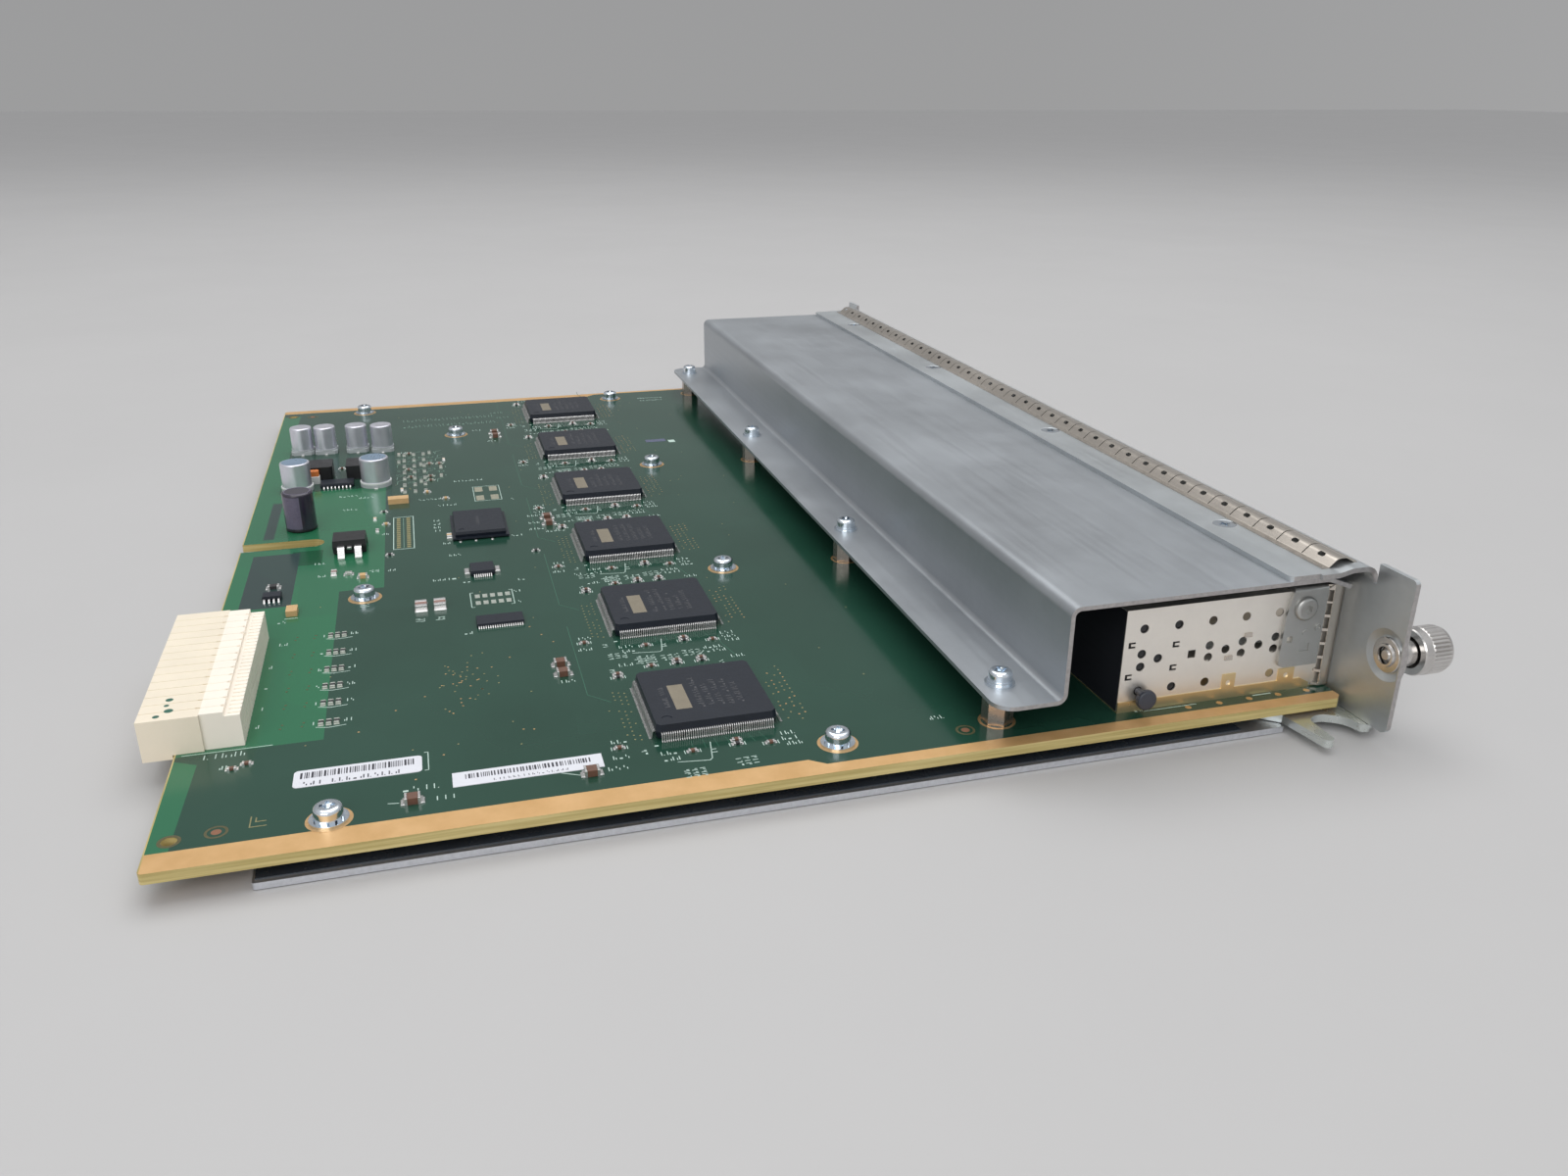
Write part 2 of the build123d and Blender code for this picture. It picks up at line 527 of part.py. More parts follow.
# --------------------------------------------------------- side brackets
leg = make_face(Polyline((-259.5, CAGE_TOP + 1.0), (-250.3, CAGE_TOP + 1.0), (-248.8, 20.0), (-248.6, 8.2),
                         (-249.0, 7.0), (-250.2, 6.5), (-259.5, 6.5), close=True))
bracket = along_x(leg, BLOCK_X0 - 1.0, BLOCK_X0)
bracket += block(BLOCK_X0 - 1.0, BLOCK_X0 + 9.0, -259.5, -250.3, CAGE_TOP, CAGE_TOP + 1.0)
bend = [e for e in bracket.edges().filter_by(Axis.Y)
        if abs(e.center().X - (BLOCK_X0 - 1.0)) < 0.01 and e.center().Z > 20]
bracket = fillet(bend, 0.95)
bracket -= peg_x(-253.7, 21.6, 4, BLOCK_X0 + 0.1, 1.35)
bracket -= block(BLOCK_X0 - 2.0, BLOCK_X0 - 0.6, -256.6, -253.9, 10.2, 12.3)
bracket += peg_x(-254.9, 15.1, BLOCK_X0 - 1.15, BLOCK_X0 - 0.9, 0.8)
bracket += peg_x(-258.3, 16.2, BLOCK_X0 - 1.35, BLOCK_X0 - 0.9, 0.95)
bracket -= peg_x(-258.3, 16.2, BLOCK_X0 - 2, BLOCK_X0 - 1.0, 0.45)
bracket -= block(4, BLOCK_X0 + 0.1, -251.5, -250.0, 13.0, 14.6)
put("side_bracket_left", bracket)
put("side_bracket_right", opposite(bracket))
b_screw = peg_x(-253.7, 21.6, BLOCK_X0 - 2.15, BLOCK_X0 - 1.0, 3.05)
b_screw = fillet(b_screw.edges().sort_by(Axis.X)[0], 0.95)
b_screw += peg_x(-253.7, 21.6, BLOCK_X0 - 1.0, BLOCK_X0 + 0.25, 1.25)
b_screw -= Pos(BLOCK_X0 - 2.15, -253.7, 21.6) * Rot(0, 90, 0) * extrude(RegularPolygon(1.2, 6), amount=0.9, both=True)
put("bracket_screws", [b_screw, opposite(b_screw)])
plug = peg_x(-212.9, 3.7, 5.9, BLOCK_X0 - SHELL_T, 1.5) + peg_x(-212.9, 3.7, 4.6, 5.9, 2.45)
plug = fillet(plug.edges().sort_by(Axis.X)[0], 0.5)
plug += peg_x(-211.6, 5.3, 5.1, BLOCK_X0 - SHELL_T, 0.8)
put("cage_side_plugs", [plug, opposite(plug)])

# ------------------------------------------------------- captive thumbscrews
ferrule_pts = [
    (2.1, -264.05), (2.6, -264.05), (2.8, FACE_REAR), (4.05, FACE_REAR), (FERRULE_R, FACE_REAR - 0.15),
    (FERRULE_R, dish_floor), (BARREL_R, dish_floor), (BARREL_R, -271.8), (BARREL_R - 0.2, -272.0),
    (BARREL_BORE_R, -272.0), (BARREL_BORE_R, -265.0), (2.1, -265.0),
]
ferrule = turned(ferrule_pts, SCREW_X, SCREW_Z)
put("thumbscrew_ferrules", [ferrule, opposite(ferrule)])

KNOB_HOLLOW_R = 3.8
knob_pts = [
    (0.0, -279.6), (2.8, -279.5), (4.4, -279.2), (5.3, -278.5), (KNOB_R, -277.4), (KNOB_R, -273.3),
    (5.55, -273.0), (5.55, -271.1), (5.3, -270.8), (KNOB_HOLLOW_R, -270.8), (KNOB_HOLLOW_R, -275.9), (2.6, -275.9), (2.6, -271.55),
    (SHAFT_R, -271.55), (SHAFT_R, -264.9), (SHAFT_R - 0.6, -264.3), (0.0, -264.3),
]
knob = turned(knob_pts, SCREW_X, SCREW_Z)
FLUTES = 36
for k in range(FLUTES):
    groove = Rot(0, 360.0 * k / FLUTES, 0) * Pos(KNOB_R + 0.06, -276.3, 0) * Rot(0, 45, 0) * Box(0.5, 6.4, 0.5)
    knob -= Pos(SCREW_X, 0, SCREW_Z) * groove
drive = block(SCREW_X - 2.6, SCREW_X + 2.6, -281, -278.3, SCREW_Z - 0.55, SCREW_Z + 0.55)
drive += block(SCREW_X - 0.55, SCREW_X + 0.55, -281, -278.3, SCREW_Z - 2.6, SCREW_Z + 2.6)
knob -= drive
put("thumbscrew_left", knob)
put("thumbscrew_right", opposite(knob))

seat = peg_y(SCREW_X, SCREW_Z, -271.5, -270.9, BARREL_BORE_R - 0.06) - peg_y(
    SCREW_X, SCREW_Z, -273, -269, SHAFT_R + 0.06)
put("spring_seat_left", seat)
put("spring_seat_right", opposite(seat))

# the spring as it is at full compression, against the ferrule's rear lip
SPRING_WIRE = 0.5
spring_path = Helix(pitch=0.6, height=1.9, radius=2.25)
spring = sweep(Plane(origin=spring_path @ 0, z_dir=spring_path % 0) * Circle(SPRING_WIRE / 2),
               path=spring_path, is_frenet=True)
spring = Pos(SCREW_X, -265.3, SCREW_Z) * Rot(90, 0, 0) * spring
put("thumbscrew_springs", [spring, opposite(spring)])

# ---------------------------------------------------------- ejector levers
px, py = LEVER_PIVOT
lever_outline = make_face([
    Line((-10.8, -250.0), (1.5, -248.2)),
    Line((1.5, -248.2), (3.6, -245.6)),
    ThreePointArc((3.6, -245.6), (9.4, -243.0), (15.2, -246.8)),
    Line((15.2, -246.8), (16.4, -250.5)),
    Line((16.4, -250.5), (16.4, -262.0)),
    ThreePointArc((16.4, -262.0), (17.8, -265.4), (21.4, -267.3)),
    Line((21.4, -267.3), (52.6, -267.3)),
    ThreePointArc((52.6, -267.3), (56.95, -271.65), (52.6, -276.0)),
    Line((52.6, -276.0), (5.0, -276.0)),
    ThreePointArc((5.0, -276.0), (-2.4, -272.6), (-6.8, -266.2)),
    ThreePointArc((-6.8, -266.2), (-7.9, -264.4), (-6.6, -262.9)),
    ThreePointArc((-6.6, -262.9), (-3.4, -261.6), (-1.4, -259.0)),
    ThreePointArc((-1.4, -259.0), (-0.7, -255.6), (-2.6, -252.9)),
    Line((-2.6, -252.9), (-10.8, -252.6)),
    ThreePointArc((-10.8, -252.6), (-12.1, -251.3), (-10.8, -250.0)),
])
lever = along_z(lever_outline, LEVER_Z0, LEVER_Z0 + LEVER_T)
lip = block(12.0, 52.6, -276.0, -274.4, LEVER_Z0, -0.8)
lever += lip
lever -= peg(px, py, -9, 0, 2.05)
put("ejector_lever_left", lever)
put("ejector_lever_right", opposite(lever))
pivot = peg(px, py, TRAY_BOTTOM + 0.05, -3.3, 2.0) + peg(px, py, -3.3, -2.7, 3.4)
pivot = fillet(pivot.edges().sort_by(Axis.Z)[-1], 0.3)
put("lever_pivots", [pivot, opposite(pivot)])

# --------------------------------------------------- parts on the board
big = package(CHIP_SIZE, CHIP_SIZE, 0.3, CHIP_TOP, 0.3)
upright = big.edges().filter_by(lambda e: abs(e.center().Z - (0.3 + CHIP_TOP) / 2) > 0.4
                                and abs(abs(e.center().X) - abs(e.center().Y)) < 0.05
                                and e.length < 3)
big = chamfer(upright, 0.9) if len(upright) == 8 else big
big -= Pos(-10.9, 10.9, CHIP_TOP) * Cylinder(1.25, 0.2)
put("controller_chips", [Pos(CHIP_X0 + CHIP_PITCH * i, CHIP_Y, 0) * big for i in range(6)])

flash = package(22.0, 16.0, 1.0, 2.7, 0.25) - Pos(-8.6, 5.8, 2.7) * Cylinder(0.9, 0.2)
flash += Pos(0, 0, 0.72) * Box(23.6, 17.6, 0.56)
supply = package(7.5, 7.0, 0.2, 1.7, 0.15)
driver = package(6.1, 12.5, 0.15, 1.15, 0.1)
corner_ic = package(3.9, 5.0, 0.2, 1.5, 0.12)
mid_ic = package(6.0, 11.5, 0.2, 1.6, 0.15)
put("logic_chips", [
    Pos(179.0, -72.4, 0) * flash, Pos(138.6, -70.9, 0) * supply, Pos(99.6, -73.2, 0) * driver,
    Pos(132.8, -12.8, 0) * corner_ic, Pos(238.6, -26.2, 0) * mid_ic,
])

# backplane connector: mating housing and terminal block, 30 positions at 2 mm
CONN_X0, CONN_X1 = 45.6, 105.6
CONN_TOP = 8.65
JOINT_Y = -6.0
mating = block(CONN_X0, CONN_X1, JOINT_Y, REARMOST, 0.0, CONN_TOP)
mating += block(CONN_X0, CONN_X1, 0.4, REARMOST, -1.0, 0.0)
pin_cut = None
for c in range(30):
    for r in range(4):
        cut = block(CONN_X0 + 0.5 + 2.0 * c, CONN_X0 + 1.5 + 2.0 * c, 3.4, 7.5, 0.4 + 2.0 * r, 1.4 + 2.0 * r)
        pin_cut = cut if pin_cut is None else pin_cut + cut
mating -= pin_cut
# segment lines on its top every 4 mm, with a small notch at the joint
for c in range(1, 15):
    gx = CONN_X0 + 4.0 * c
    mating -= block(gx - 0.11, gx + 0.11, JOINT_Y - 1, REARMOST + 1, CONN_TOP - 0.2, 9)
    mating -= block(gx - 0.3, gx + 0.3, JOINT_Y - 1, JOINT_Y + 1.0, CONN_TOP - 0.45, 9)
put("backplane_connector_housing", mating)
TERM_INSET = 0.6
terminal = block(CONN_X0 + TERM_INSET, CONN_X1 - TERM_INSET, -10.9, JOINT_Y, 0.0, CONN_TOP)
terminal += block(CONN_X0 + TERM_INSET, CONN_X1 - TERM_INSET, -14.2, -10.9, 0.0, 7.6)
for c in range(1, 30):
    gx = CONN_X0 + 2.0 * c
    terminal -= block(gx - 0.25, gx + 0.25, -14.6, -11.6, 7.25, 9)
    terminal -= block(gx - 0.25, gx + 0.25, -14.6, -13.85, -1, 9)
for c in range(1, 15):
    gx = CONN_X0 + 4.0 * c
    terminal -= block(gx - 0.11, gx + 0.11, -11.5, JOINT_Y + 1, CONN_TOP - 0.2, 9)
    terminal -= block(gx - 0.45, gx + 0.45, -11.5, -10.2, CONN_TOP - 0.9, 9)
put("backplane_connector_terminals", terminal)

# can capacitors on square bases
def can(d, height, base):
    foot = Pos(0, 0, 0.65) * Box(base, base, 1.3)
    foot = chamfer([e for e in foot.edges().filter_by(Axis.Z) if e.center().X < 0], base * 0.12)
    return foot, fillet((Pos(0, 0, (1.3 + height) / 2) * Cylinder(d / 2, height - 1.3)).edges().sort_by(Axis.Z)[-1], 0.5)


foot8, can8 = can(8.0, 10.3, 8.3)
can10 = can(10.0, 10.3, 10.3)[1]
foot10 = Pos(0, 0, 0.65) * Cylinder(5.4, 1.3)
CANS_8 = [(286.4, -11.8), (285.6, -20.5), (285.0, -32.2), (283.0, -41.6)]
CANS_10 = [(237.0, -12.9), (236.4, -39.6)]
put("capacitor_bases", at(foot8, CANS_8, 0) + at(foot10, CANS_10, 0))
put("can_capacitors", at(can8, CANS_8, 0) + at(can10, CANS_10, 0))
sleeve = Pos(193.0, -17.0, 6.6) * Cylinder(4.8, 12.4)
sleeve = fillet(sleeve.edges().sort_by(Axis.Z)[-1], 0.7)
put("sleeved_capacitor", sleeve)

tab_body = package(9.0, 10.0, 0.3, 4.4, 0.2)
tab_body += block(4.4, 6.2, -5.0, 5.0, 0.05, 1.35)
put("power_transistor", Pos(169.0, -32.7, 0) * tab_body)
choke = Pos(251.5, -20.3, 2.5) * Box(11.0, 8.4, 5.0)
choke = fillet(choke.edges().filter_by(Axis.Z), 1.2)
choke2 = Pos(250.5, -33.4, 2.5) * Box(11.0, 8.4, 5.0)
choke2 = fillet(choke2.edges().filter_by(Axis.Z), 1.0)
put("power_inductors", [choke, choke2])
put("tantalum_capacitors", [Pos(120.4, -18.9, 0.8) * Box(4.6, 2.9, 1.6), Pos(213.0, -47.2, 0.9) * Box(3.9, 6.8, 1.8)])


def chip_part(x, y, l, w, hgt, along="x"):
    s = Box(l, w, hgt) if along == "x" else Box(w, l, hgt)
    return Pos(x, y, hgt / 2) * s


CHIP_CAPS = [(68.2, -85.7), (62.5, -85.7), (182.6, -94.7), (176.3, -94.7), (12.3, -49.3), (13.3, -85.8),
             (296.4, -85.5), (290.6, -85.5)]
LONG_CAPS = [(115.0, -52.9), (115.0, -57.95)]
put("chip_capacitors", [chip_part(x, y, 3.2, 2.6, 1.6, "y") for x, y in CHIP_CAPS]
    + [chip_part(x, y, 4.4, 3.2, 1.6, "x") for x, y in LONG_CAPS])
RESISTORS = []
for cx in (101.9, 91.1, 80.9, 71.3, 62.2, 52.1):
    for dy in (-1.7, 0.0, 1.7):
        RESISTORS.append((cx, -31.4 + dy))
for cx in (224.0, 232.0, 240.0, 248.0, 256.0, 264.0, 272.0):
    for dy in (-3.6, 0.0, 3.6):
        RESISTORS.append((cx, -53.0 + dy))
put("chip_resistors", [chip_part(x, y, 2.0, 1.2, 0.6, "x") for x, y in RESISTORS])

label_a = Pos(27.5, -38.4, 0.06) * Box(7.0, 26.0, 0.12)
label_a = fillet(label_a.edges().filter_by(Axis.Z), 1.0)
label_b = Pos(18.4, -73.1, 0.06) * Box(5.8, 31.5, 0.12)
put("board_labels", [label_a, label_b])

# ----------------------------------------------------------------- write out
os.makedirs("parts", exist_ok=True)
total = 0
for name, solids in nodes.items():
    moved = [FRAME_SHIFT * s for s in solids]
    shape = moved[0] if len(moved) == 1 else Compound(children=moved)
    export_step(shape, "parts/" + name + ".step")
    total += len(moved)
print(len(nodes), "nodes", total, "solids")
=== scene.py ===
import math
import random

import bpy
import numpy as np
from mathutils import Matrix, Vector


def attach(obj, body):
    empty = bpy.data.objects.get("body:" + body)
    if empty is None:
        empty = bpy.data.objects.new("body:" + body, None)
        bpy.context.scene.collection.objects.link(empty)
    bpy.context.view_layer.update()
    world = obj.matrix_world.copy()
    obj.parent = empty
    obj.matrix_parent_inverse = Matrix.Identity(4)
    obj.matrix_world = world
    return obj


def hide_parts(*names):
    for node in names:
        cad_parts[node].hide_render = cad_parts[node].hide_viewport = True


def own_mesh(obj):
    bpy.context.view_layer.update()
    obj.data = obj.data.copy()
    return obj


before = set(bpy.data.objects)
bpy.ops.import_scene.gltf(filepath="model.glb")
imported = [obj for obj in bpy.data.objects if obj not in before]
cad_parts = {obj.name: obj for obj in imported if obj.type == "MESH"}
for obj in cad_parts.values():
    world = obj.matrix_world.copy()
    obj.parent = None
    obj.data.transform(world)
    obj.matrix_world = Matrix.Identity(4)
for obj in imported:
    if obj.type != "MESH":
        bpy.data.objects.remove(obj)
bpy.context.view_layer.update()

# Layout axes, in millimetres: X 0..355.6 along the faceplate, Y 0 at the rear
# board edge and negative towards the faceplate, Z 0 on the board's top.
SHIFT = (-177.8, 136.55, 7.1)


def W(x, y, z):
    return Vector((x + SHIFT[0], y + SHIFT[1], z + SHIFT[2])) / 1000.0


# ------------------------------------------------------------------ materials
def tree(name):
    m = bpy.data.materials.new(name)
    m.use_nodes = True
    nt = m.node_tree
    nt.nodes.clear()
    out = nt.nodes.new("ShaderNodeOutputMaterial")
    bs = nt.nodes.new("ShaderNodeBsdfPrincipled")
    nt.links.new(bs.outputs[0], out.inputs[0])
    co = nt.nodes.new("ShaderNodeTexCoord")
    return m, nt, bs, co.outputs["Object"]


def noise(nt, vec, scale, detail=3.0, rough=0.55, stretch=None):
    n = nt.nodes.new("ShaderNodeTexNoise")
    n.inputs["Scale"].default_value = scale
    n.inputs["Detail"].default_value = detail
    n.inputs["Roughness"].default_value = rough
    if stretch:
        mp = nt.nodes.new("ShaderNodeMapping")
        mp.inputs["Scale"].default_value = stretch
        nt.links.new(vec, mp.inputs["Vector"])
        vec = mp.outputs[0]
    nt.links.new(vec, n.inputs["Vector"])
    return n.outputs[0]


def ramp(nt, fac, lo, hi, a=0.3, b=0.7):
    r = nt.nodes.new("ShaderNodeMapRange")
    r.inputs["From Min"].default_value = a
    r.inputs["From Max"].default_value = b
    r.inputs["To Min"].default_value = lo
    r.inputs["To Max"].default_value = hi
    nt.links.new(fac, r.inputs["Value"])
    return r.outputs[0]


def mixc(nt, fac, c1, c2, kind="MIX"):
    n = nt.nodes.new("ShaderNodeMix")
    n.data_type = "RGBA"
    n.blend_type = kind
    a = n.inputs[6]
    b = n.inputs[7]
    f = n.inputs[0]
    for sock, c in ((a, c1), (b, c2)):
        if isinstance(c, (tuple, list)):
            sock.default_value = (*c, 1.0)
        else:
            nt.links.new(c, sock)
    if isinstance(fac, (int, float)):
        f.default_value = fac
    else:
        nt.links.new(fac, f)
    return n.outputs[2]


def math_(nt, op, a, b=None, c=None, clamp=False):
    n = nt.nodes.new("ShaderNodeMath")
    n.operation = op
    n.use_clamp = clamp
    for i, v in enumerate((a, b, c)):
        if v is None:
            continue
        if isinstance(v, (int, float)):
            n.inputs[i].default_value = v
        else:
            nt.links.new(v, n.inputs[i])
    return n.outputs[0]


def bump(nt, bs, height, strength, dist, prev=None):
    b = nt.nodes.new("ShaderNodeBump")
    b.inputs["Strength"].default_value = strength
    b.inputs["Distance"].default_value = dist
    nt.links.new(height, b.inputs["Height"])
    if prev is not None:
        nt.links.new(prev, b.inputs["Normal"])
    nt.links.new(b.outputs[0], bs.inputs["Normal"])
    return b.outputs[0]


def simple(name, color, metallic=0.0, rough=0.5, var=0.12, var_scale=90.0, rough_var=0.08, grain=2500.0,
           grain_amt=0.12, spec=0.5, coat=0.0, stretch=None):
    """A finish with its own soft colour drift, roughness drift and fine grain."""
    m, nt, bs, co = tree(name)
    bs.inputs["Metallic"].default_value = metallic
    bs.inputs["Specular IOR Level"].default_value = spec
    if coat:
        bs.inputs["Coat Weight"].default_value = coat
        bs.inputs["Coat Roughness"].default_value = 0.12
    n1 = noise(nt, co, var_scale, 4.0, 0.6)
    lo = tuple(max(0.0, c * (1 - var)) for c in color)
    hi = tuple(min(1.0, c * (1 + var)) for c in color)
    nt.links.new(mixc(nt, ramp(nt, n1, 0.0, 1.0), lo, hi), bs.inputs["Base Color"])
    n2 = noise(nt, co, var_scale * 2.7, 3.0, 0.6)
    nt.links.new(ramp(nt, n2, max(0.02, rough - rough_var), min(1.0, rough + rough_var)), bs.inputs["Roughness"])
    n3 = noise(nt, co, grain, 2.0, 0.6, stretch)
    bump(nt, bs, n3, grain_amt, 0.0001)
    return m


def sheet_metal(name, color, rough, smudge=0.10, scratch=0.25, cut=None, metal=0.88):
    """Plated sheet: cloudy passivation, faint rolling lines along X, light scratches.
    cut names the faces that are sheared edges and show bare steel; on side cuts the bare colour is also lifted and
    blued as a painted highlight."""
    m, nt, bs, co = tree(name)
    bs.inputs["Metallic"].default_value = metal
    cloud = noise(nt, co, 24.0, 5.0, 0.62)
    fine = noise(nt, co, 420.0, 3.0, 0.6)
    lo = tuple(c * (1 - smudge) for c in color)
    hi = tuple(min(1, c * (1 + smudge)) for c in color)
    c1 = mixc(nt, ramp(nt, cloud, 0, 1, 0.35, 0.65), lo, hi)
    c2 = mixc(nt, ramp(nt, fine, 0.0, 0.25), c1, tuple(min(1, c * 1.12) for c in color))
    if cut:
        geo = nt.nodes.new("ShaderNodeNewGeometry")
        nsep = nt.nodes.new("ShaderNodeSeparateXYZ")
        nt.links.new(geo.outputs["True Normal"], nsep.inputs[0])
        if cut == "x":
            mask = math_(nt, "GREATER_THAN", math_(nt, "ABSOLUTE", nsep.outputs[0]), 0.9)
            edge = ((0.40, 0.38, 0.375), (0.52, 0.50, 0.49))
        else:
            mask = math_(nt, "LESS_THAN", math_(nt, "ABSOLUTE", nsep.outputs[2]), 0.6)
            # side edges: bare steel, lifted and blued as a painted highlight of the edge catching light
            edge = ((0.66, 0.68, 0.72), (0.78, 0.80, 0.85))
        bare = mixc(nt, ramp(nt, noise(nt, co, 900.0, 3.0, 0.6), 0, 1), *edge)
        c2 = mixc(nt, mask, c2, bare)
    nt.links.new(c2, bs.inputs["Base Color"])
    roll = noise(nt, co, 700.0, 2.0, 0.5, (0.02, 1.0, 1.0))
    r1 = ramp(nt, cloud, rough - 0.05, rough + 0.06, 0.3, 0.7)
    r2 = math_(nt, "ADD", r1, ramp(nt, roll, -0.03, 0.03))
    nt.links.new(r2, bs.inputs["Roughness"])
    scr = noise(nt, co, 260.0, 1.0, 0.4, (0.05, 1.6, 1.0))
    line = math_(nt, "POWER", ramp(nt, scr, 0.0, 1.0, 0.42, 0.62), 8.0)
    h = math_(nt, "ADD", math_(nt, "MULTIPLY", fine, 0.4), math_(nt, "MULTIPLY", line, scratch))
    h = math_(nt, "ADD", h, math_(nt, "MULTIPLY", roll, 0.22))
    bump(nt, bs, h, 0.09, 0.00012)
    return m


def board_material():
    """Solder mask over laminate: copper-free zones read lighter, side edges plated gold."""
    m, nt, bs, co = tree("board_mask")
    sep = nt.nodes.new("ShaderNodeSeparateXYZ")
    nt.links.new(co, sep.inputs[0])
    geo = nt.nodes.new("ShaderNodeNewGeometry")
    nsep = nt.nodes.new("ShaderNodeSeparateXYZ")
    nt.links.new(geo.outputs["True Normal"], nsep.inputs[0])
    x, y, z = sep.outputs

    def between(v, lo, hi):
        a = math_(nt, "GREATER_THAN", v, lo)
        b = math_(nt, "LESS_THAN", v, hi)
        return math_(nt, "MULTIPLY", a, b)

    def rect(x0, x1, y0, y1):
        lo, hi = W(x0, y0, 0), W(x1, y1, 0)
        return math_(nt, "MULTIPLY", between(x, lo.x, hi.x), between(y, lo.y, hi.y))

    def union(a, b):
        return math_(nt, "MAXIMUM", a, b)

    light = union(rect(44.2, 233.0, -30.6, 1.0), rect(133.5, 233.0, -42.9, -30.6))
    # band along the rear edge, drawn in a little towards the near corner, with a slanted end
    slope = math_(nt, "MULTIPLY_ADD", x, -0.023, W(0, -4.3, 0).y - 0.023 * 0.1778)
    slant = math_(nt, "LESS_THAN", math_(nt, "MULTIPLY_ADD", y, -0.55, x), W(42.6, 0, 0).x - 0.55 * W(0, 0, 0).y)
    near = math_(nt, "MULTIPLY", math_(nt, "GREATER_THAN", y, slope), slant)
    light = union(light, near)
    light = union(light, rect(233.0, 346.0, -7.0, 1.0))
    dark = union(rect(126.0, 169.4, -18.0, -4.4), rect(184.4, 222.2, -9.0, -5.8))
    deep = rect(157.8, 170.5, -24.6, -15.7)
    cloud = noise(nt, co, 18.0, 4.0, 0.55)
    weave = noise(nt, co, 900.0, 2.0, 0.5)
    base = mixc(nt, ramp(nt, cloud, 0, 1), (0.0120, 0.0500, 0.0320), (0.0175, 0.0640, 0.0420))
    base = mixc(nt, light, base, (0.0200, 0.1500, 0.0680))
    base = mixc(nt, deep, base, (0.009, 0.085, 0.034))
    base = mixc(nt, dark, base, (0.024, 0.048, 0.046))
    # faint copper planes under the mask, with straight outlines
    plane = nt.nodes.new("ShaderNodeTexVoronoi")
    plane.feature = "F1"
    plane.distance = "CHEBYCHEV"
    plane.inputs["Scale"].default_value = 21.0
    nt.links.new(co, plane.inputs["Vector"])
    tone = nt.nodes.new("ShaderNodeSeparateXYZ")
    nt.links.new(plane.outputs["Color"], tone.inputs[0])
    base = mixc(nt, ramp(nt, tone.outputs[0], 0.0, 0.14, 0.0, 1.0), base, (0.026, 0.085, 0.060))
    # gold bands along the side edges
    ax = math_(nt, "ABSOLUTE", x)
    inset = math_(nt, "SUBTRACT", 0.1778, ax)
    band = nt.nodes.new("ShaderNodeMapRange")
    band.inputs["From Min"].default_value = W(0, -135.0, 0).y
    band.inputs["From Max"].default_value = W(0, -131.5, 0).y
    band.inputs["To Min"].default_value = 0.0038
    band.inputs["To Max"].default_value = 0.0065
    nt.links.new(y, band.inputs["Value"])
    far = math_(nt, "MULTIPLY", math_(nt, "GREATER_THAN", x, 0.0), -0.0018)
    gold = math_(nt, "LESS_THAN", inset, math_(nt, "ADD", band.outputs[0], far))
    up = math_(nt, "GREATER_THAN", math_(nt, "ABSOLUTE", nsep.outputs[2]), 0.5)
    gold = math_(nt, "MULTIPLY", gold, up)
    gcol = mixc(nt, ramp(nt, noise(nt, co, 130.0, 4.0, 0.6), 0, 1), (0.62, 0.370, 0.150), (0.72, 0.450, 0.205))
    base = mixc(nt, gold, base, gcol)
    # laminate edge, with its layers showing
    side = math_(nt, "SUBTRACT", 1.0, up)
    side = union(side, math_(nt, "MULTIPLY", math_(nt, "GREATER_THAN", y, W(0, -0.3, 0).y),
                             math_(nt, "LESS_THAN", y, W(0, 0.5, 0).y)))
    layer = noise(nt, co, 1800.0, 2.0, 0.5, (0.02, 0.02, 1.0))
    lcol = mixc(nt, ramp(nt, layer, 0, 1, 0.35, 0.65), (0.42, 0.33, 0.115), (0.60, 0.49, 0.215))
    base = mixc(nt, side, base, lcol)
    nt.links.new(base, bs.inputs["Base Color"])
    nt.links.new(math_(nt, "MULTIPLY", gold, 0.35), bs.inputs["Metallic"])
    rr = ramp(nt, noise(nt, co, 60.0, 3.0, 0.6), 0.13, 0.19)
    rr = math_(nt, "ADD", rr, math_(nt, "MULTIPLY", math_(nt, "MAXIMUM", gold, side), 0.26))
    nt.links.new(rr, bs.inputs["Roughness"])
    h = math_(nt, "ADD", math_(nt, "MULTIPLY", weave, 0.35), math_(nt, "MULTIPLY", light, -0.35))
    bump(nt, bs, h, 0.06, 0.00005)
    return m


